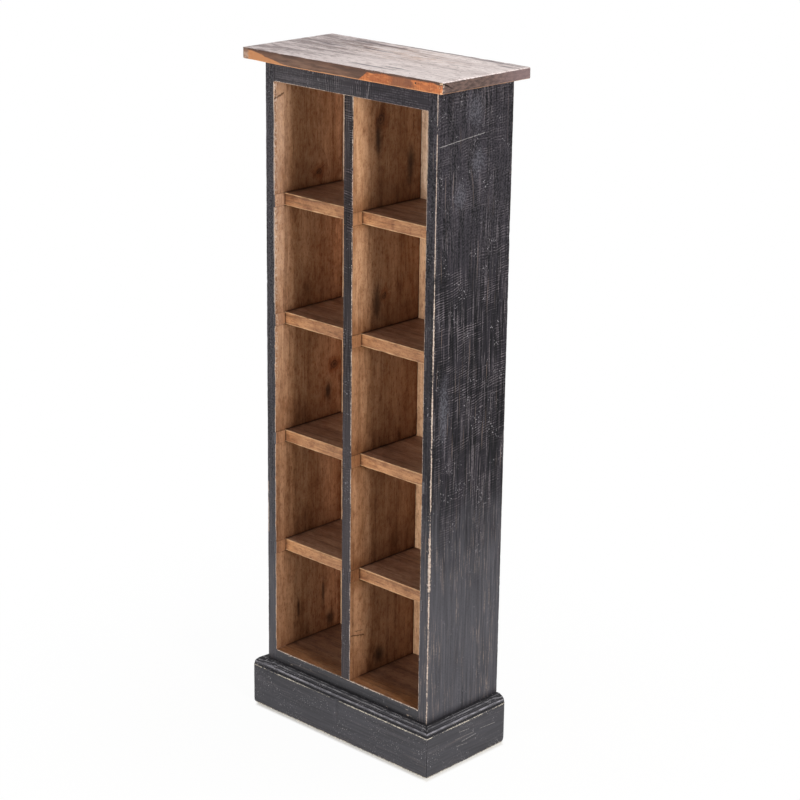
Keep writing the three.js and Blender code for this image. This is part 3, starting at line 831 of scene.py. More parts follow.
class SidePanels(bpy.types.Operator):
    """Both side panels: painted outside and in front, bare inside, with housings and a rabbet"""

    bl_idname = "tower.side_panels"
    bl_label = "Side panels"

    def execute(self, context):
        shape = context.scene.tower_shape
        for hand, column in ((-1, "left"), (1, "right")):
            right = hand > 0
            node = f"side_panel_{column}"
            box = corners_of(node)
            inner, outer = box[::hand, 0]
            steps = [*shelf_steps(column), FLOOR[0] - GLUE_LINE, FLOOR[1] + GLUE_LINE, SUB_TOP[0] - GLUE_LINE]
            radii = np.array([0.5, 1.3, 1, 0.3, 0.3, 0.3, 0.1, 0.1]) * shape.arris
            mesh = plank(
                f"painted_side_{column}", 2, box[:, 2], side_corners(hand), radii[::hand], 11 + hand,
                pitch=2.2 * MM, steps=steps, nicked=(0, 1, 2) if right else (5, 6, 7), hollow=0.2 * MM,
                nicks_per_metre=shape.nicks,
            )

            def bare(f, wobble, inner=inner, hand=hand):
                """Unpainted inside, up to a ragged line along the front inner arris, but not at the joints
                with the rail and the floor board."""
                inside = ((inner - f.x) * float(hand) + 1.2 * MM).rise(0, 0.4)
                inside = inside * (f.y - FRONT - 0.1 * MM + wobble * 0.8).rise(0, 0.5)
                return inside * (f.z.rise(-0.3, 0, FLOOR[1]) * f.z.rise(0.3, 0, RAIL[0]))

            front_arris = {0: outer, 1: FRONT}
            worn_at = [
                (front_arris, (1.2 if right else 0.9) * MM, None),
                (front_arris, (1.7 if right else 0.9) * MM, (110 * MM, 660 * MM)),
                (front_arris, 3 * MM, (262 * MM, 340 * MM)),
                ({0: outer, 1: REAR}, 0.8 * MM, None),
                ({0: inner, 1: FRONT}, 1.2 * MM, (FLOOR[1], RAIL[0])),
            ]
            if not right:
                worn_at.append(({0: inner, 1: FRONT}, 2.4 * MM, (600 * MM, RAIL[0])))
            wood = {"tones": panel_tones("wall"), "lit_and_paled": walls_lit_and_paled, **({} if right else WALL_MARKS)}
            finish = painted_finish(
                f"painted side {column}", 2, 3 + hand, SIDE_PAINT, slope=-0.1 * hand, across=1, face=(1, 2),
                knots=RIGHT_KNOTS if right else RIGHT_KNOTS[:2], scratches=RIGHT_SCRATCHES if right else (),
                smooth=(210 * MM, 430 * MM), saw=side_saw, worn_at=worn_at, extra=side_marks, gloss=0.1,
                bare=bare, wood={**wood, "joints": wall_joints(column), "floors": shelf_tops(column)},
            )
            put(f"painted_side_{column}", mesh, finish, "painted_wood", node)
        return {"FINISHED"}


def front_painted(f, wobble):
    """Bare behind the front edge, whose paint ends in a ragged line just round its arrises."""
    return (f.y - FRONT - 0.9 * MM + wobble).rise(0, 0.5)


class Divider(bpy.types.Operator):
    """Centre divider: bare faces, painted front edge, housings on both sides and a notch at each end"""

    bl_idname = "tower.divider"
    bl_label = "Centre divider"

    def execute(self, context):
        shape = context.scene.tower_shape
        box = corners_of("centre_divider")
        head = RAIL[0] - GLUE_LINE
        foot = FLOOR[1] + GLUE_LINE

        def corners(at):
            """Both faces step in at the housings of their column, and the front edge stands back behind the
            rail above and the floor board below."""
            left = DIVIDER[0] + np.where(within(at, shelf_steps("left")), HOUSING_DEPTH, 0)
            right = DIVIDER[1] - np.where(within(at, shelf_steps("right")), HOUSING_DEPTH, 0)
            front = np.where(at > head, RAIL_REAR, np.where(at < foot, SHELF_FRONT + GLUE_LINE, FRONT))
            return ring_at(at, (left, front), (right, front), (right, box[1, 1]), (left, box[1, 1]))

        mesh = plank(
            "painted_divider", 2, box[:, 2], corners, np.array([0.7, 0.7, 0.3, 0.3]) * shape.arris, 23,
            pitch=2.2 * MM, steps=[*shelf_steps("left"), *shelf_steps("right"), head, foot], nicked=(0, 1),
            nicks_per_metre=shape.nicks,
        )
        wood = {"tones": panel_tones("wall"), "lit_and_paled": walls_lit_and_paled, **DIVIDER_MARKS}
        finish = painted_finish(
            "painted divider", 2, 7, FRONT_PAINT, coarse=0.55, saw=divider_saw, gloss=0.16,
            worn_at=[({0: place, 1: FRONT}, 0.8 * MM, None) for place in DIVIDER], extra=divider_marks,
            bare=front_painted,
            wood={**wood, "joints": wall_joints("right"), "floors": shelf_tops("right")},
        )
        put("painted_divider", mesh, finish, "wall_wood", "centre_divider")
        return {"FINISHED"}


class TopRail(bpy.types.Operator):
    """Painted rail between the side panels, under the top board"""

    bl_idname = "tower.top_rail"
    bl_label = "Top rail"

    def execute(self, context):
        shape = context.scene.tower_shape
        mesh = box_plank(
            "painted_rail", "top_rail", 0, np.array([1, 0.4, 0.4, 0.6]) * shape.arris, 31, pitch=2.5 * MM,
            cuts=4 * MM, nicked=(0,), nicks_per_metre=shape.nicks,
        )

        def bare(f, wobble):
            """The under edge and the rear face are unpainted."""
            return (f.y - FRONT - 2.5 * MM + wobble * 2).rise(0, 0.5)

        def saw(f):
            """Saw marks round the divider's head, and fainter ones elsewhere."""
            return 0.35 + f.x.band(-60, -20, 20, 60) * 1.6

        def marks(f, colour, rough, grit):
            """Rows of fine dents along the rail, and its right half darker."""
            rows = (f.z * (2 * math.pi / (3.1 * MM)) + f.cloud(30, 60, 2, 23) * 6).sine() * 0.5 + 0.5
            dents = rows * f.cloud(2.6, 3.2, 1, 24).fade(0.42, 0.6) * f.cloud(14, 60, 2, 25).fade(0.4, 0.55)
            right = f.x.rise(-30, 60)
            colour = f.mix(dents * (0.14 + right * 0.24), colour, linear(128, 123, 126))
            colour = f.tint(colour, rows.fade(0.4, 0.1) * (0.15 + right * 0.35), (0.6, 0.58, 0.6))
            return f.tint(colour, right, (0.56, 0.54, 0.58)), rough

        finish = painted_finish(
            "painted rail", 0, 9, RAIL_PAINT, slope=0.05, across=2, saw=saw, coarse=0.4, gloss=0.18,
            worn_at=[({2: RAIL[0], 1: FRONT}, 1.2 * MM, None)], scratches=RAIL_SCRATCHES, extra=marks,
            bare=bare, wood={"tones": panel_tones("wall"), "face": (0, 2)},
        )
        put("painted_rail", mesh, finish, "painted_wood", "top_rail")
        return {"FINISHED"}


class FloorBoard(bpy.types.Operator):
    """Floor board with its painted front edge, notched at its front corners and housed for the divider"""

    bl_idname = "tower.floor_board"
    bl_label = "Floor board"

    def execute(self, context):
        shape = context.scene.tower_shape
        box = corners_of("floor_board")
        inner = (2 * MIDDLE - SIDE[0] + GLUE_LINE, SIDE[0] - GLUE_LINE)

        def corners(at):
            """The front edge stands back at both ends, and behind it the top drops at the divider."""
            front = np.where((at < inner[0]) | (at > inner[1]), SHELF_FRONT + GLUE_LINE, FRONT)
            top = FLOOR[1] - np.where(within(at, DIVIDER_ROOM), HOUSING_DEPTH, 0)
            stop = np.maximum(SHELF_FRONT, front + 1 * MM)
            return ring_at(
                at, (front, FLOOR[0]), (box[1, 1], FLOOR[0]), (box[1, 1], top), (stop, top),
                (stop - 0.4 * MM, FLOOR[1]), (front, FLOOR[1]),
            )

        radii = np.array([0.5, 0.3, 0.3, 0.05, 0.05, 1.4]) * shape.arris
        mesh = plank(
            "painted_floor", 0, box[:, 0], corners, radii, 37, pitch=2.5 * MM, steps=[*inner, *DIVIDER_ROOM],
            nicked=(5,), nicks_per_metre=shape.nicks,
        )

        def bare(f, wobble):
            """Painted on the front edge alone."""
            return (f.y - FRONT - 0.7 * MM + wobble * 1.5).rise(0, 0.6)

        def paled(f):
            """Paler towards the front, mostly on the right."""
            # Partly paled wood, partly painted light falling in at the open front.
            return f.y.rise(44, 14, FRONT) * (1.1 + f.x.rise(-40, 60) * 0.4), linear(196, 142, 92)

        walls = (SIDE[0], 2 * MIDDLE - SIDE[0], *DIVIDER)
        finish = painted_finish(
            "painted floor", 0, 13, FLOOR_PAINT, across=2, saw=0.1, coarse=0.4, bare=bare, extra=foot_dirt_and_shade,
            worn_at=[({2: FLOOR[1], 1: FRONT}, 1.1 * MM, None)],
            wood={
                "tones": (linear(74, 50, 38), linear(116, 83, 63), linear(144, 109, 84)), "face": (0, 1),
                "lit_and_paled": paled, "joints": [*((0, place) for place in walls), (1, BACK_FACE)],
            },
        )
        put("painted_floor", mesh, finish, "wall_wood", "floor_board")
        return {"FINISHED"}


class SubTop(bpy.types.Operator):
    """Board behind the top rail that carries the top board"""

    bl_idname = "tower.sub_top"
    bl_label = "Sub-top"

    def execute(self, context):
        box = corners_of("sub_top")
        (_, front, low), (_, rear, high) = box

        def corners(at):
            """A rectangle whose under face rises at the divider."""
            under = low + np.where(within(at, DIVIDER_ROOM), HOUSING_DEPTH, 0)
            return ring_at(at, (front, under), (rear, under), (rear, high), (front, high))

        mesh = plank("waxed_sub_top", 0, box[:, 0], corners, 0.4 * MM, 41, pitch=5 * MM, steps=DIVIDER_ROOM)
        finish = wood_finish("sub-top wood", panel_tones("wall"), 0, box, 15, face=(0, 1))
        put("waxed_sub_top", mesh, finish, "wall_wood", "sub_top")
        return {"FINISHED"}


class Shelves(bpy.types.Operator):
    """The eight shelves, housed in the sides and the divider"""

    bl_idname = "tower.shelves"
    bl_label = "Shelves"

    def execute(self, context):
        shape = context.scene.tower_shape
        edge = linear(214, 176, 134)
        for number in SHELVES:
            for column in COLUMNS:
                node = f"shelf_{column}_{number}"
                seed = 50 + number * 2 + (column == "right")
                mesh = box_plank(
                    f"waxed_{node}", node, 0, np.array([0.8, 0.3, 0.4, 1.2]) * shape.soft_arris, seed,
                    pitch=3 * MM, cuts=6 * MM, nicked=(0, 3), nicks_per_metre=20, hollow=0.25 * MM,
                )
                box = corners_of(node)
                walls = (DIVIDER[1], SIDE[0]) if column == "right" else (2 * MIDDLE - SIDE[0], DIVIDER[0])

                def shaded(f, box=box):
                    """The top of the shelf, behind its front arris."""
                    return f.z.rise(-1.2, -0.5, box[1, 2]) * f.y.rise(0.5, 2, box[0, 1])

                finish = wood_finish(
                    f"shelf wood {column} {number}", panel_tones("shelf"), 0, box, seed, face=(0, 1),
                    edge=edge, contrast=1.35, joints=[(0, walls[0]), (0, walls[1]), (1, BACK_FACE)],
                    shaded=shaded,
                )
                put(f"waxed_{node}", mesh, finish, "shelf_wood", node)
        return {"FINISHED"}


class Fillers(bpy.types.Operator):
    """The blocks that plug the housings in front of the shelves"""

    bl_idname = "tower.fillers"
    bl_label = "Housing fillers"

    def execute(self, context):
        tones = linear(98, 62, 39), linear(142, 97, 63), linear(170, 124, 86)
        finish = painted_finish(
            "filler wood", 2, 21, FRONT_PAINT, bare=front_painted, coarse=0.7, extra=filler_marks,
            wood={"tones": tones, "lit_and_paled": walls_lit_and_paled, "patches": 0.75},
        )
        names = [f"filler_{c}_{n}_{at}" for c in COLUMNS for n in SHELVES for at in ("side", "divider")]
        for count, node in enumerate(names):
            name = node.replace("filler", "plug")
            mesh = box_plank(name, node, 1, 0.35 * MM, 80 + count, pitch=3 * MM, hollow=0.1 * MM)
            put(name, mesh, finish, "wall_wood", node)
        return {"FINISHED"}


class BackBoards(bpy.types.Operator):
    """The three upright back boards, each lapped over the next one's edge by half its thickness"""

    bl_idname = "tower.back_boards"
    bl_label = "Back boards"

    def execute(self, context):
        tones = linear(178, 140, 108), linear(212, 180, 148), linear(230, 202, 170)

        def backs_shaded_below(f):
            """The room side below the top compartments, tinted darker and browner as painted shade."""
            return f.y.rise(3, 1, BACK_FACE) * f.z.rise(780, 730)

        for number in (1, 2, 3):
            node = f"back_board_{number}"
            box = corners_of(node)
            (left, near, _), (right, far, _) = box
            middle = (near + far) / 2
            low = left if number == 1 else span(f"back_board_{number - 1}", 0)[1] + GLUE_LINE
            high = right if number == 3 else span(f"back_board_{number + 1}", 0)[0] - GLUE_LINE
            ring = [
                (left, near), (high, near), (high, middle + GLUE_LINE), (right, middle + GLUE_LINE),
                (right, far), (low, far), (low, middle), (left, middle),
            ]
            if number == 1:
                ring = [*ring[:5], (left, far)]
            if number == 3:
                ring = [ring[0], (right, near), *ring[4:]]
            mesh = plank(
                f"bare_{node}", 2, box[:, 2], np.array(ring), 0.5 * MM, 120 + number, pitch=4 * MM,
                hollow=0.2 * MM,
            )
            knots = (((left + 31 * MM, 500 * MM + 90 * MM * number), (5 * MM, 8 * MM)),)
            finish = wood_finish(
                f"back wood {number}", tones, 2, box, 120 + number, knots=knots, face=(0, 2), shaded=backs_shaded_below,
                shade=(0.86, 0.7, 0.56),
            )
            put(f"bare_{node}", mesh, finish, "back_wood", node)
        return {"FINISHED"}


MOULDING = 11.5 * MM  # height of the moulded edge
MOULDING_DEPTH = 10.4 * MM
BEAD_RADIUS = 3.1 * MM
BEAD_CENTRE = (4.9 * MM, 3.3 * MM)  # back from the face and up from the moulding's foot
FOOT_WEAR = {  # (along, up) at the left or front end, and at the right or rear one
    "front": ((8 * MM, 7 * MM), (3 * MM, 2 * MM)),
    "left": ((8 * MM, 7 * MM), (9 * MM, 7 * MM)),
    "right": ((3 * MM, 2 * MM), (9 * MM, 7 * MM)),
}
FACE_WEAR = {  # (along, back) at the same ends
    "front": ((5 * MM, 1.4 * MM), (2.4 * MM, 0.5 * MM)),
    "left": ((5 * MM, 1.4 * MM), (5 * MM, 1.4 * MM)),
    "right": ((2.4 * MM, 0.5 * MM), (5 * MM, 1.4 * MM)),
}
# Lengths at the same ends over which old paint fills the moulding
FILLED = {"front": (26 * MM, 1 * MM), "left": (26 * MM, 16 * MM), "right": (1 * MM, 16 * MM)}
MOULDED = slice(3, 18)  # corners of the section that belong to the moulding


def plinth_outline():
    """Corners of a plinth board's section as (out, height), anticlockwise: foot, toe, arris, ledge, a round
    bead standing in a quirk, a groove, and two small steps. The bead is the arc out = C + r cos a,
    height = H + r sin a."""
    (_, near, _), (_, far, top) = corners_of("plinth_front")
    thickness = far - near
    arris = top - MOULDING
    turn = np.radians(np.linspace(-52, 100, 11))
    centre, level = thickness - BEAD_CENTRE[0], arris + BEAD_CENTRE[1]
    bead = np.stack([centre + BEAD_RADIUS * np.cos(turn), level + BEAD_RADIUS * np.sin(turn)], -1)
    start = [(0, 0), (thickness, 0), (thickness, arris), (thickness - 2.6 * MM, arris + 0.3 * MM)]
    groove = (thickness - 7.5 * MM, arris + 6.1 * MM)
    step = [(thickness - 8.3 * MM, arris + 8.3 * MM), (thickness - 9.8 * MM, arris + 8.8 * MM)]
    corners = np.array([*start, *bead.tolist(), groove, *step, (thickness - MOULDING_DEPTH, top), (0, top)])
    radii = np.array([0.3, 0.5, 0.8, 0.2, *[0.2] * len(bead), 0.15, 0.35, 0.15, 0.35, 0.3]) * MM
    return corners, radii


def knocked(at, ends, wear):
    """Height by which the foot is worn away at the ends of a plinth board: up (1 - sqrt(1 - t^2)), where t
    falls from 1 at the end to 0 at a length of `along` from it, with (along, up) given for each end."""
    lift = np.zeros(len(at))
    for end, (along, up) in zip(ends, wear):
        t = np.clip(1 - abs(at - end) / along, 0, 1)
        lift += up * (1 - np.sqrt(1 - t * t))
    return lift


def eased(at, ends, wear):
    """The same at the ends of a plinth board for its face, which falls back in a parabola: back t^2."""
    return sum(back * np.clip(1 - abs(at - end) / along, 0, 1) ** 2 for end, (along, back) in zip(ends, wear))


def worn_sections(section, name, at, ends, rng):
    """The plinth's section at every place along a board: worn foot and corners, and towards the ends, over
    the lengths in FILLED, old paint fills the moulding to the quarter of an ellipse (T - W + W sqrt(1 - h^2),
    h) with h from 0 to 1 over its height. The front board's moulding is bruised near its left end and chipped
    in its middle."""
    top = section[:, 1].max()
    width = MOULDING_DEPTH
    full = section.copy()
    share = np.clip((section[MOULDED, 1] - top + MOULDING) / MOULDING, 0, 1)
    full[MOULDED, 0] = section[:, 0].max() - width + width * np.sqrt(1 - share**2) - 0.3 * MM
    rings = np.broadcast_to(section, (len(at), *section.shape)).copy()
    fill = sum(np.clip(1.4 - 1.4 * abs(at - end) / length, 0, 1) for end, length in zip(ends, FILLED[name]))
    rings += (full - section) * np.minimum(fill, 1)[:, None, None] * 0.85
    if name == "front":
        inwards = at - ends[0]
        bruised = np.exp(-(((inwards - 28 * MM) / (26 * MM)) ** 2)) * np.clip(inwards / (14 * MM), 0, 1)
        bruised = bruised * 1.1 * MM
        for k in range(2, 19):
            rings[:, k, 0] -= bruised * (0.5 + ripple(rng, at, (0.013, 0.006, 0.0042)))
            rings[:, k, 1] -= bruised * (0.4 + ripple(rng, at, (0.017, 0.007, 0.0049))) * 0.7
        chip = np.exp(-(((at - 2 * MM) / (3.5 * MM)) ** 2)) * 2.2 * MM
        rings[:, 2, 0] -= chip
        rings[:, 2:4, 1] -= chip[:, None] * 0.7
    rings[..., 0] -= eased(at, ends, FACE_WEAR[name])[:, None] * rings[..., 0] / section[:, 0].max()
    lift = knocked(at, ends, FOOT_WEAR[name])[:, None]
    rings[..., 1] = lift + rings[..., 1] * (1 - lift / top)
    return rings


class Plinth(bpy.types.Operator):
    """The moulded plinth boards, mitred at the front corners"""

    bl_idname = "tower.plinth"
    bl_label = "Plinth"

    def execute(self, context):
        section, radii = plinth_outline()
        shape = context.scene.tower_shape
        for number, (name, axis) in enumerate((("front", 0), ("left", 1), ("right", 1))):
            node = f"plinth_{name}"
            box = corners_of(node)
            if name == "front":
                inner, flip = box[1, 1], -1
                ends = (box[0, 0], box[1, 0])
            else:
                flip = -1 if name == "left" else 1
                inner = box[1, 0] if name == "left" else box[0, 0]
                ends = (box[0, 1], box[1, 1])
            thickness = section[:, 0].max()

            def ring_of(sections, inner=inner, flip=flip, axis=axis):
                """Sections as (out, height) in the order of the axes across the board."""
                out = inner + flip * sections[..., 0]
                return np.stack((out, sections[..., 1]) if axis == 0 else (sections[..., 1], out), -1)

            # Twice the area is negative where the outline runs clockwise about the axis
            ring = ring_of(section)
            turns = ring - np.roll(ring, 1, 0)
            area = (turns[:, 0] * np.roll(turns[:, 1], -1) - turns[:, 1] * np.roll(turns[:, 0], -1)).sum()
            order = slice(None, None, -1) if area < 0 else slice(None)

            def shear(along, outline, inner=inner, flip=flip, ends=ends, axis=axis, name=name):
                """Mitre: a mitred end runs on by as much as the section stands out there."""
                out = (outline[..., 1 if axis == 1 else 0] - inner) * flip
                share = (along - ends[0]) / (ends[1] - ends[0])
                first = ends[0] + thickness - out
                last = ends[1] - (thickness - out if name == "front" else 0)
                return first + (last - first) * share

            def corners(at, ring_of=ring_of, order=order, ends=ends, name=name):
                rng = np.random.default_rng(7)
                return ring_of(worn_sections(section, name, at, ends, rng))[:, order]

            mesh = plank(
                f"moulded_{node}", axis, ends, corners, radii[order], 140 + number, pitch=2 * MM, cuts=5 * MM,
                nicked=(2,) if order.step is None else (len(radii) - 3,), nicks_per_metre=shape.nicks * 0.7,
                end_radius=0.5 * MM, shear=shear, hollow=0.15 * MM,
            )
            finish = plinth_finish(f"painted plinth {name}", axis, box, name)
            put(f"moulded_{node}", mesh, finish, "painted_wood", node)
        return {"FINISHED"}


def plinth_finish(name, axis, box, board):
    """Smooth grey paint, worn along the moulding's arris, the foot and the mitred corners, with painted shade
    in the quirk, the groove and over the ledge, and a bead rubbed shiny with a painted highlight on its
    crown."""
    high = box[1, 2] - MOULDING
    face = 1 - axis
    out = box[1, 0] if board == "right" else box[0, face]
    worn_at = [({face: out, 2: high}, 1.3 * MM, None), ({face: out, 2: 0.8 * MM}, 0.8 * MM, None)]
    for end, far_board in enumerate(("right", "left")):
        if board != far_board:
            worn_at.append(({0: box[end, 0], 1: corners_of("plinth_front")[0, 1]}, 0.8 * MM, None))

    def moulding(f, colour, rough, grit):
        """Painted shade in the quirk, the groove and over the ledge; crowns of bead, step and lip lighter, as
        rubbed paint and painted highlights; and specks of old paint, mostly in patches."""
        up = f.z - high
        dirt = f.cloud(3, 12, 2, 31)
        # Painted shade in the quirk, the groove and everything above the step.
        dark = up.band(0.2, 0.5, 2.2, 3.6)
        dark = dark.most(up.band(6.0, 6.5, 7.6, 8.1) * 0.8)
        dark = dark.most(up.rise(8.7, 9))
        colour = f.tint(colour, dark * 0.9, (0.2, 0.19, 0.2))
        # Painted highlights, with rubbed paint, along the crowns of bead, step and lip.
        crown_wear_and_highlight = up.band(4.2, 5, 5.7, 6.2)
        colour = f.mix(crown_wear_and_highlight * (0.2 + dirt.fade(0.4, 0.62) * 0.5), colour, linear(158, 155, 161))
        step = up.band(7.9, 8.2, 8.7, 9)
        colour = f.mix(step * (0.1 + dirt.fade(0.4, 0.6) * 0.4), colour, linear(150, 147, 150))
        lip = up.rise(11, 11.3) * abs(f.parts[face] - out).rise(1.2, 0.5, MOULDING_DEPTH)
        colour = f.mix(lip * dirt.fade(0.38, 0.56) * 0.35, colour, linear(150, 147, 150))
        crowded = f.cloud(28, 44, 2, 34).fade(0.46, 0.6)
        if board == "front":
            crowded = crowded.most(f.x.rise(-95, -125) * up.rise(-3, 0))
        specks = f.cloud(1.9, 1.7, 1, 33).fade(0.65, 0.72) * crowded
        colour = f.mix(specks * 0.6, colour, linear(166, 162, 165))
        return colour, rough - crown_wear_and_highlight * (0.0 if board == "front" else 0.2)

    return painted_finish(
        name, axis, 17 + len(board), PLINTH_PAINT, across=2, face=(axis, 2), saw=0.0, coarse=0.3,
        worn_at=worn_at, line_tones=(linear(140, 134, 124), linear(198, 188, 172)), extra=moulding,
        scratches=PLINTH_SCRATCHES if board == "right" else (),
    )


class Base(bpy.types.Operator):
    """Rails and corner blocks under the floor board"""

    bl_idname = "tower.base"
    bl_label = "Base rails and blocks"

    def execute(self, context):
        tones = linear(150, 116, 80), linear(186, 152, 110), linear(208, 178, 136)
        rails = ("base_rail_front", "base_rail_back")
        blocks = [f"corner_block_{a}_{b}" for a in ("front", "back") for b in COLUMNS]
        for kind, nodes, axis, face, first in (
            ("base", rails, 0, (0, 2), 150), ("block", blocks, 2, (1, 2), 160),
        ):
            for count, node in enumerate(nodes):
                seed = first + count
                mesh = box_plank(f"rough_{node}", node, axis, 0.6 * MM, seed, pitch=6 * MM)
                box = corners_of(node)
                finish = wood_finish(f"{kind} wood {count}", tones, axis, box, seed, face=face, rough=0.7)
                put(f"rough_{node}", mesh, finish, "hidden_wood", node)
        return {"FINISHED"}


TOP_STREAKS = oval_rows(
    (38, -62, 46, 4), (70, -50, 26, 3), (-112, 20, 30, 3.5), (-40, 30, 40, 3), (30, 79, 90, 3),
    (130, 75, 60, 3.5), (-70, 66, 70, 3), (158, 60, 20, 3),
)
WANE_PLACES = (0.05, 0.11, 0.17, 0.24, 0.32, 0.41, 0.5, 0.6, 0.64, 0.8, 0.94)  # shares of the top's length
WANE_BOWS = (0.12, 0.45, 0.75, 0.95, 1, 0.9, 0.72, 0.5, 0.4, 0.2, 0.1)  # shares of the wane's depth
WANE_CREASES = (0.95, 0.68, 0.4, 0.12, 0.08, 0.1, 0.08, 0.12, 0.92, 0.95, 0.95)  # shares of the thickness
WANE_DEPTH = 2 * MM


class TopBoard(bpy.types.Operator):
    """Thick top board with its waney front edge"""

    bl_idname = "tower.top_board"
    bl_label = "Top board"

    def execute(self, context):
        box = corners_of("top_board")
        (left, near, under), (right, far, top) = box

        def corners(at):
            """The sawn face bows out from a straight line by up to WANE_DEPTH, and above the crease the wane
            slopes back to that line. Both run straight between the places in WANE_PLACES."""
            share = (at - left) / (right - left)
            bow = WANE_DEPTH * np.interp(share, WANE_PLACES, WANE_BOWS)
            crease = under + (top - under) * np.interp(share, WANE_PLACES, WANE_CREASES)
            straight = near + WANE_DEPTH
            return ring_at(
                at, (straight - bow, under), (far, under), (far, top), (straight, top),
                (straight - bow, np.minimum(crease, top - 0.5 * MM)),
            )

        radii = np.array([0.9, 0.9, 1.8, 1.6, 1.0]) * MM
        mesh = plank(
            "waney_top", 0, (left, right), corners, radii, 171, pitch=2 * MM, cuts=4 * MM,
            end_radius=3.2 * MM, nicked=(2, 3), nicks_per_metre=20, hollow=0.35 * MM,
        )
        put("waney_top", mesh, top_finish(box), "top_wood", "top_board")
        return {"FINISHED"}


def weathered_face(f, rear, streaks, fine):
    """Pale upper face with grey grain, streaks, a dark rear edge, rusty and dark spots and long splits; and
    how grey and how split it is."""
    broad = f.cloud(20, 110, 3, 22)
    pale = f.mix(f.x.rise(-170, 70), linear(212, 198, 196), linear(236, 223, 219))
    pale = f.mix(broad.fade(0.4, 0.68) * 0.45, pale, linear(184, 168, 165))
    pale = f.mix(fine.fade(0.46, 0.66) * 0.5, pale, linear(150, 130, 126))
    aged = f.x.rise(20, -150) * 0.13 - f.x.rise(-90, 60) * 0.07
    grey = (streaks + broad * 0.5 + (fine - 0.5) * 0.4 + aged).fade(0.8, 0.91)
    pale = f.mix(grey * 0.7, pale, f.mix(fine.fade(0.4, 0.6), linear(76, 64, 64), linear(138, 122, 120)))
    for centre, reach in TOP_STREAKS:
        streak = (f.patch(centre, reach, (0, 1)) + (fine - 0.5) * 0.8 + (streaks - 0.5) * 0.6).fade(0.42, 0.8)
        pale = f.mix(streak * 0.7, pale, linear(84, 76, 84))
    rim = f.y.rise(-7, -3, rear) * f.x.rise(-100, 20)
    pale = f.mix(rim * (0.3 + fine * 0.5), pale, linear(104, 88, 86))
    rust = f.patch((-10 * MM, 34 * MM), (80 * MM, 30 * MM), (0, 1)).fade(0.1, 0.7) * streaks.fade(0.45, 0.6)
    pale = f.tint(pale, rust * 0.8, (0.74, 0.6, 0.5))
    pale = f.mix(f.cloud(2.6, 5, 1, 24).fade(0.68, 0.76) * 0.7, pale, linear(74, 60, 56))
    splits = f.cloud(3.2, 90, 1, 36).fade(0.66, 0.74) * f.cloud(16, 60, 2, 37).fade(0.46, 0.6)
    return f.mix(splits * 0.6, pale, linear(92, 78, 76)), grey, splits


def waney_edge(f, box, fine, wobble, foot):
    """Front edge: dark bark above the crease, an orange sawn face below it, a pale foot, a nail hole, the
    knocked left end and pale flecks at the right one; and where the hole is. The crease is where the
    outline's attribute `side` passes from the sawn face, 4, to the wane, 3."""
    (left, _, under), (right, _, top) = box
    swirl = f.cloud(7, 14, 3, 26)
    rings = (f.x * 90 + f.z * 60 + swirl * 15).sine() * 0.5 + 0.5
    sawn = f.mix(rings.fade(0.1, 0.9) * 0.6, linear(190, 115, 66), linear(138, 75, 44))
    teeth = (f.x * (2 * math.pi / (2.7 * MM)) + swirl * 8).sine() * 0.5 + 0.5
    teeth = teeth.fade(0.4, 0.9) * f.cloud(12, 12, 2, 35).fade(0.36, 0.54)
    sawn = f.tint(sawn, teeth * 0.85, (0.62, 0.48, 0.42))
    sawn = f.tint(sawn, f.z.rise(9, 14, under) * 0.55, (0.62, 0.42, 0.34))
    sawn = f.mix(f.cloud(3, 9, 3, 30).fade(0.5, 0.7) * 0.35, sawn, linear(222, 154, 96))
    brown = f.patch((110 * MM, under + 8 * MM), (19 * MM, 14 * MM), (0, 2)) + (swirl - 0.5) * 0.8
    sawn = f.mix(brown.fade(0.36, 0.66) * 0.75, sawn, linear(104, 66, 48))
    sawn = f.mix(f.x.rise(-60, -110), sawn, linear(180, 124, 82))
    bark = f.mix(f.cloud(5, 40, 3, 28).fade(0.35, 0.65), linear(88, 66, 55), linear(120, 92, 76))
    bark = f.tint(bark, f.z.rise(-7, -2, top) * 0.6, (0.5, 0.42, 0.4))
    bark = f.tint(bark, (f.x + (swirl - 0.5) * 80 * MM).rise(-90, 20) * 0.6, (0.74, 0.64, 0.58))
    bark = f.tint(bark, f.x.rise(-100, -130) * 0.7, (0.66, 0.54, 0.48))
    side = f.node("ShaderNodeAttribute", {"attribute_name": "side"}, output="Fac")
    edge = f.mix((side + wobble * 0.5).fade(3.55, 3.7), bark, sawn)
    edge = f.tint(edge, fine.fade(0.5, 0.7) * 0.4, (0.6, 0.5, 0.45))
    edge = f.mix(foot * 0.55, edge, linear(214, 158, 112))
    hole = f.patch((134 * MM, under + 9 * MM), (1.4 * MM, 1.1 * MM), (0, 2)).fade(0.45, 0.6)
    edge = f.mix(hole, edge, linear(30, 20, 16))
    knocked_end = (left + 14 * MM - f.x + wobble * 12 * MM).rise(0, 5)
    mottled = f.mix(swirl.fade(0.4, 0.6), linear(112, 88, 76), linear(166, 142, 126))
    edge = f.mix(knocked_end * 0.85, edge, mottled)
    flecks = f.x.rise(-12, -1, right) * f.cloud(1.9, 2.2, 1, 39).fade(0.58, 0.66)
    return f.mix(flecks * 0.6, edge, linear(226, 196, 160)), hole


def sawn_end(f, box, foot):
    """Brown end grain, greyer to the rear, with a pale foot and a chipped front corner on the right."""
    near, right = box[0, 1], box[1, 0]
    grain = f.cloud(3.2, 9, 4, 29, rough=0.65, axis=1)
    end = f.mix(grain.fade(0.35, 0.65), linear(60, 45, 40), linear(98, 77, 70))
    end = f.mix(f.y.rise(-10, 80) * 0.5, end, linear(136, 114, 116))
    end = f.mix(foot * 0.7, end, linear(190, 150, 118))
    chipped = f.x.rise(-8, -1, right) * f.y.rise(8, 1, near) * f.cloud(2, 2.6, 2, 38).fade(0.5, 0.62)
    return f.mix(chipped * 0.7, end, linear(214, 190, 166))


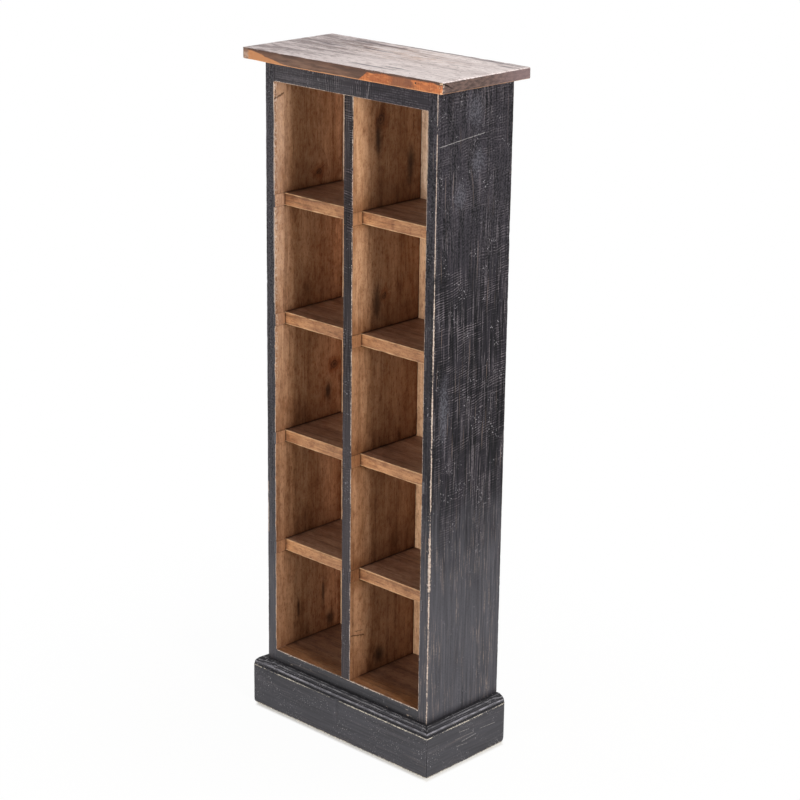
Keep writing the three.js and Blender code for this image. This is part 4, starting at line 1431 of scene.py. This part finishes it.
def top_finish(box):
    """The top board: a weathered face, the waney front edge, brown sawn ends, and plain wood underneath."""
    (_, near, under), (_, far, _) = box
    f = Finish("top board wood", 0, 5, Specular_IOR_Level=0.35)
    wood, height = timber(f, (linear(96, 62, 44), linear(140, 96, 64), linear(176, 124, 82)), face=(0, 2))
    streaks = f.cloud(5.4, 44, 4, 21, rough=0.65)
    fine = f.cloud(3.4, 17, 3, 23, rough=0.65)
    wobble = f.cloud(3, 16, 3, 25) - 0.5
    foot = (under + 1.6 * MM - f.z + wobble * 2 * MM).rise(0, 0.8)
    normal = f.node("ShaderNodeNewGeometry", output="Normal")
    across, up = (f.node("ShaderNodeSeparateXYZ", sockets={0: normal}, output=k) for k in (0, 2))
    pale, grey, splits = weathered_face(f, far, streaks, fine)
    edge, hole = waney_edge(f, box, fine, wobble, foot)
    colour = f.mix(f.y.rise(9, 6, near), wood, edge)
    colour = f.mix((abs(across) + wobble * 0.3).fade(0.5, 0.75), colour, sawn_end(f, box, foot))
    colour = f.mix((up + wobble * 0.3).fade(0.6, 0.8), colour, pale)
    height = height + streaks * 0.4 - grey * 0.4 - splits * 0.6 - hole * 2
    return f.done(colour, 0.5 + streaks * 0.2, height, 0.35 * MM)


class Screws(bpy.types.Operator):
    """Steel finish for the countersunk screws, which stay as the CAD has them"""

    bl_idname = "tower.screws"
    bl_label = "Screws"

    def execute(self, context):
        f = Finish("screw steel", 1, 3, Metallic=1.0)
        stain = f.cloud(1.2, 1.2, 3, 1)
        colour = f.mix(stain.fade(0.45, 0.7), linear(150, 146, 138), linear(96, 82, 66))
        steel = f.done(colour, 0.3 + stain * 0.35, stain, 0.05 * MM)
        for name, node in NODES.items():
            if "screw" in name:
                node.data.materials.clear()
                node.data.materials.append(steel)
        return {"FINISHED"}


LAMPS = {  # azimuth and elevation in degrees, distance, and size
    "key": (77.2, 14, 2.6, (0.48, 1.1)),
    "fill": (4, 5, 3.2, (0.7, 0.9)),
    "top": (150, 72, 2.4, (1.4, 1.4)),
}
AIM = (MIDDLE, 0, 0.47)
CAMERA_PLACE = (2.02806, -2.11620, 1.44691)
CAMERA_ANGLES = (43.242, 18.284, 0.790)  # azimuth, elevation and roll in degrees
FLOOR_REACH = 40.0


def direction(azimuth, elevation):
    """Unit vector (sin a cos e, -cos a cos e, sin e) that points from the tower to the azimuth a, to the
    right of its front, and the elevation e, both in radians."""
    level = math.cos(elevation)
    return Vector((math.sin(azimuth) * level, -math.cos(azimuth) * level, math.sin(elevation)))


class Stage(bpy.types.Operator):
    """Plain pale floor, white surroundings, soft studio lamps and the camera"""

    bl_idname = "tower.stage"
    bl_label = "Stage"

    def lamp(self, scene, name, power):
        """Area lamp that looks at the middle of the tower."""
        azimuth, elevation, distance, size = LAMPS[name]
        back = direction(math.radians(azimuth), math.radians(elevation))
        data = bpy.data.lights.new(f"{name} lamp", "AREA")
        data.shape, data.energy = "RECTANGLE", power
        data.size, data.size_y = size
        made = bpy.data.objects.new(f"{name} lamp", data)
        made.location = Vector(AIM) + back * distance
        made.rotation_euler = back.to_track_quat("Z", "Y").to_euler()
        scene.collection.objects.link(made)

    def surroundings(self, scene, ambient):
        """A world that looks white to the camera, to mirrors and through glass, and shines with `ambient`."""
        scene.world = bpy.data.worlds.new("white surroundings")
        sky = Nodes(scene.world)
        camera, glossy, through = (sky.ray(kind) for kind in ("Camera", "Glossy", "Transmission"))
        seen = camera.most(glossy.most(through))
        strength = sky.node("ShaderNodeMapRange", {}, {"Value": seen, "To Min": ambient, "To Max": 1.0})
        background = sky.tree.nodes["Background"]
        sky.feed(background.inputs["Color"], (1, 1, 1))
        sky.feed(background.inputs["Strength"], strength)

    def floor(self, scene):
        """A matt floor that takes the light, and shows white to the camera except close to the plinth's
        outline, whose left and rear corners are a little off the ground."""
        mesh = bpy.data.meshes.new("floor")
        corners = [(x * FLOOR_REACH, y * FLOOR_REACH, 0) for x, y in ((-1, -1), (1, -1), (1, 1), (-1, 1))]
        mesh.from_pydata(corners, [], [(0, 1, 2, 3)])
        floor = bpy.data.objects.new("studio_floor", mesh)
        scene.collection.objects.link(floor)
        f = Finish("studio floor", Roughness=1.0, Specular_IOR_Level=0.0)
        f.feed(f.shader.inputs["Base Color"], (0.9, 0.87, 0.82))
        glow = f.node("ShaderNodeEmission", sockets={"Color": (1, 1, 1), "Strength": 1.0})
        foot = [(span("plinth_left", 0)[0], span("plinth_right", 0)[1]), (span("plinth_front", 1)[0], REAR)]
        gaps = [abs(f.parts[k] - (low + high) / 2) - (high - low) / 2 for k, (low, high) in enumerate(foot)]
        lifted_left = f.x * -1 + foot[0][0] + (f.y * -1 + foot[1][0])
        lifted_rear = f.x - foot[0][1] + (f.y - foot[1][1])
        away = gaps[0].most(gaps[1]).most(((lifted_left + 16 * MM) * 0.8).most((lifted_rear + 12 * MM) * 0.8))
        share = 1 - away.rise(9, 2) * 0.95 - away.fade(0.6, 0.01) * 0.04
        seen = f.ray("Camera").most(f.ray("Glossy"))
        sockets = {0: seen * share, 1: Sock(f, f.shader.outputs[0]), 2: glow}
        shown = f.node("ShaderNodeMixShader", sockets=sockets)
        f.feed(f.tree.nodes["Material Output"].inputs["Surface"], shown)
        mesh.materials.append(f.material)

    def camera(self, scene, lens):
        """The camera, where a fit to the tower's outline puts it."""
        data = bpy.data.cameras.new("camera")
        data.lens, data.sensor_width = lens, 36
        camera = bpy.data.objects.new("camera", data)
        scene.collection.objects.link(camera)
        azimuth, elevation, roll = (math.radians(angle) for angle in CAMERA_ANGLES)
        back = direction(azimuth, elevation)
        right = Vector((math.cos(azimuth), math.sin(azimuth), 0))
        up = back.cross(right)
        right, up = right * math.cos(roll) + up * math.sin(roll), up * math.cos(roll) - right * math.sin(roll)
        turned = Matrix((right, up, back)).transposed()
        camera.matrix_world = Matrix.Translation(CAMERA_PLACE) @ turned.to_4x4()
        scene.camera = camera

    def execute(self, context):
        scene = context.scene
        stage = scene.tower_stage
        for name in LAMPS:
            self.lamp(scene, name, getattr(stage, name))
        self.surroundings(scene, stage.ambient)
        self.floor(scene)
        self.camera(scene, stage.lens)
        scene.view_settings.view_transform = "Standard"
        return {"FINISHED"}


class Panel(bpy.types.Panel):
    """Buttons for the tower's pieces"""

    bl_idname = "TOWER_PT_pieces"
    bl_label = "Storage tower"
    bl_space_type = "VIEW_3D"
    bl_region_type = "UI"
    bl_category = "Tower"

    def draw(self, context):
        for step in STEPS:
            self.layout.operator(step.bl_idname)
        for group in (context.scene.tower_shape, context.scene.tower_finish, context.scene.tower_stage):
            for name in group.__annotations__:
                self.layout.prop(group, name)


STEPS = (
    SidePanels, Divider, TopRail, FloorBoard, SubTop, Shelves, Fillers, BackBoards, Plinth, Base, TopBoard,
    Screws, Stage,
)
GROUPS = {"tower_shape": TowerShape, "tower_finish": TowerFinish, "tower_stage": TowerStage}


def register():
    for item in (*GROUPS.values(), *STEPS, Panel):
        bpy.utils.register_class(item)
    for name, group in GROUPS.items():
        setattr(bpy.types.Scene, name, PointerProperty(type=group))


def unregister():
    for name in GROUPS:
        delattr(bpy.types.Scene, name)
    for item in (Panel, *STEPS[::-1], *GROUPS.values()):
        bpy.utils.unregister_class(item)


def main():
    """Builds every piece and the stage."""
    register()
    for step in STEPS:
        group, name = step.bl_idname.split(".")
        getattr(getattr(bpy.ops, group), name)()


if __name__ == "__main__":
    main()
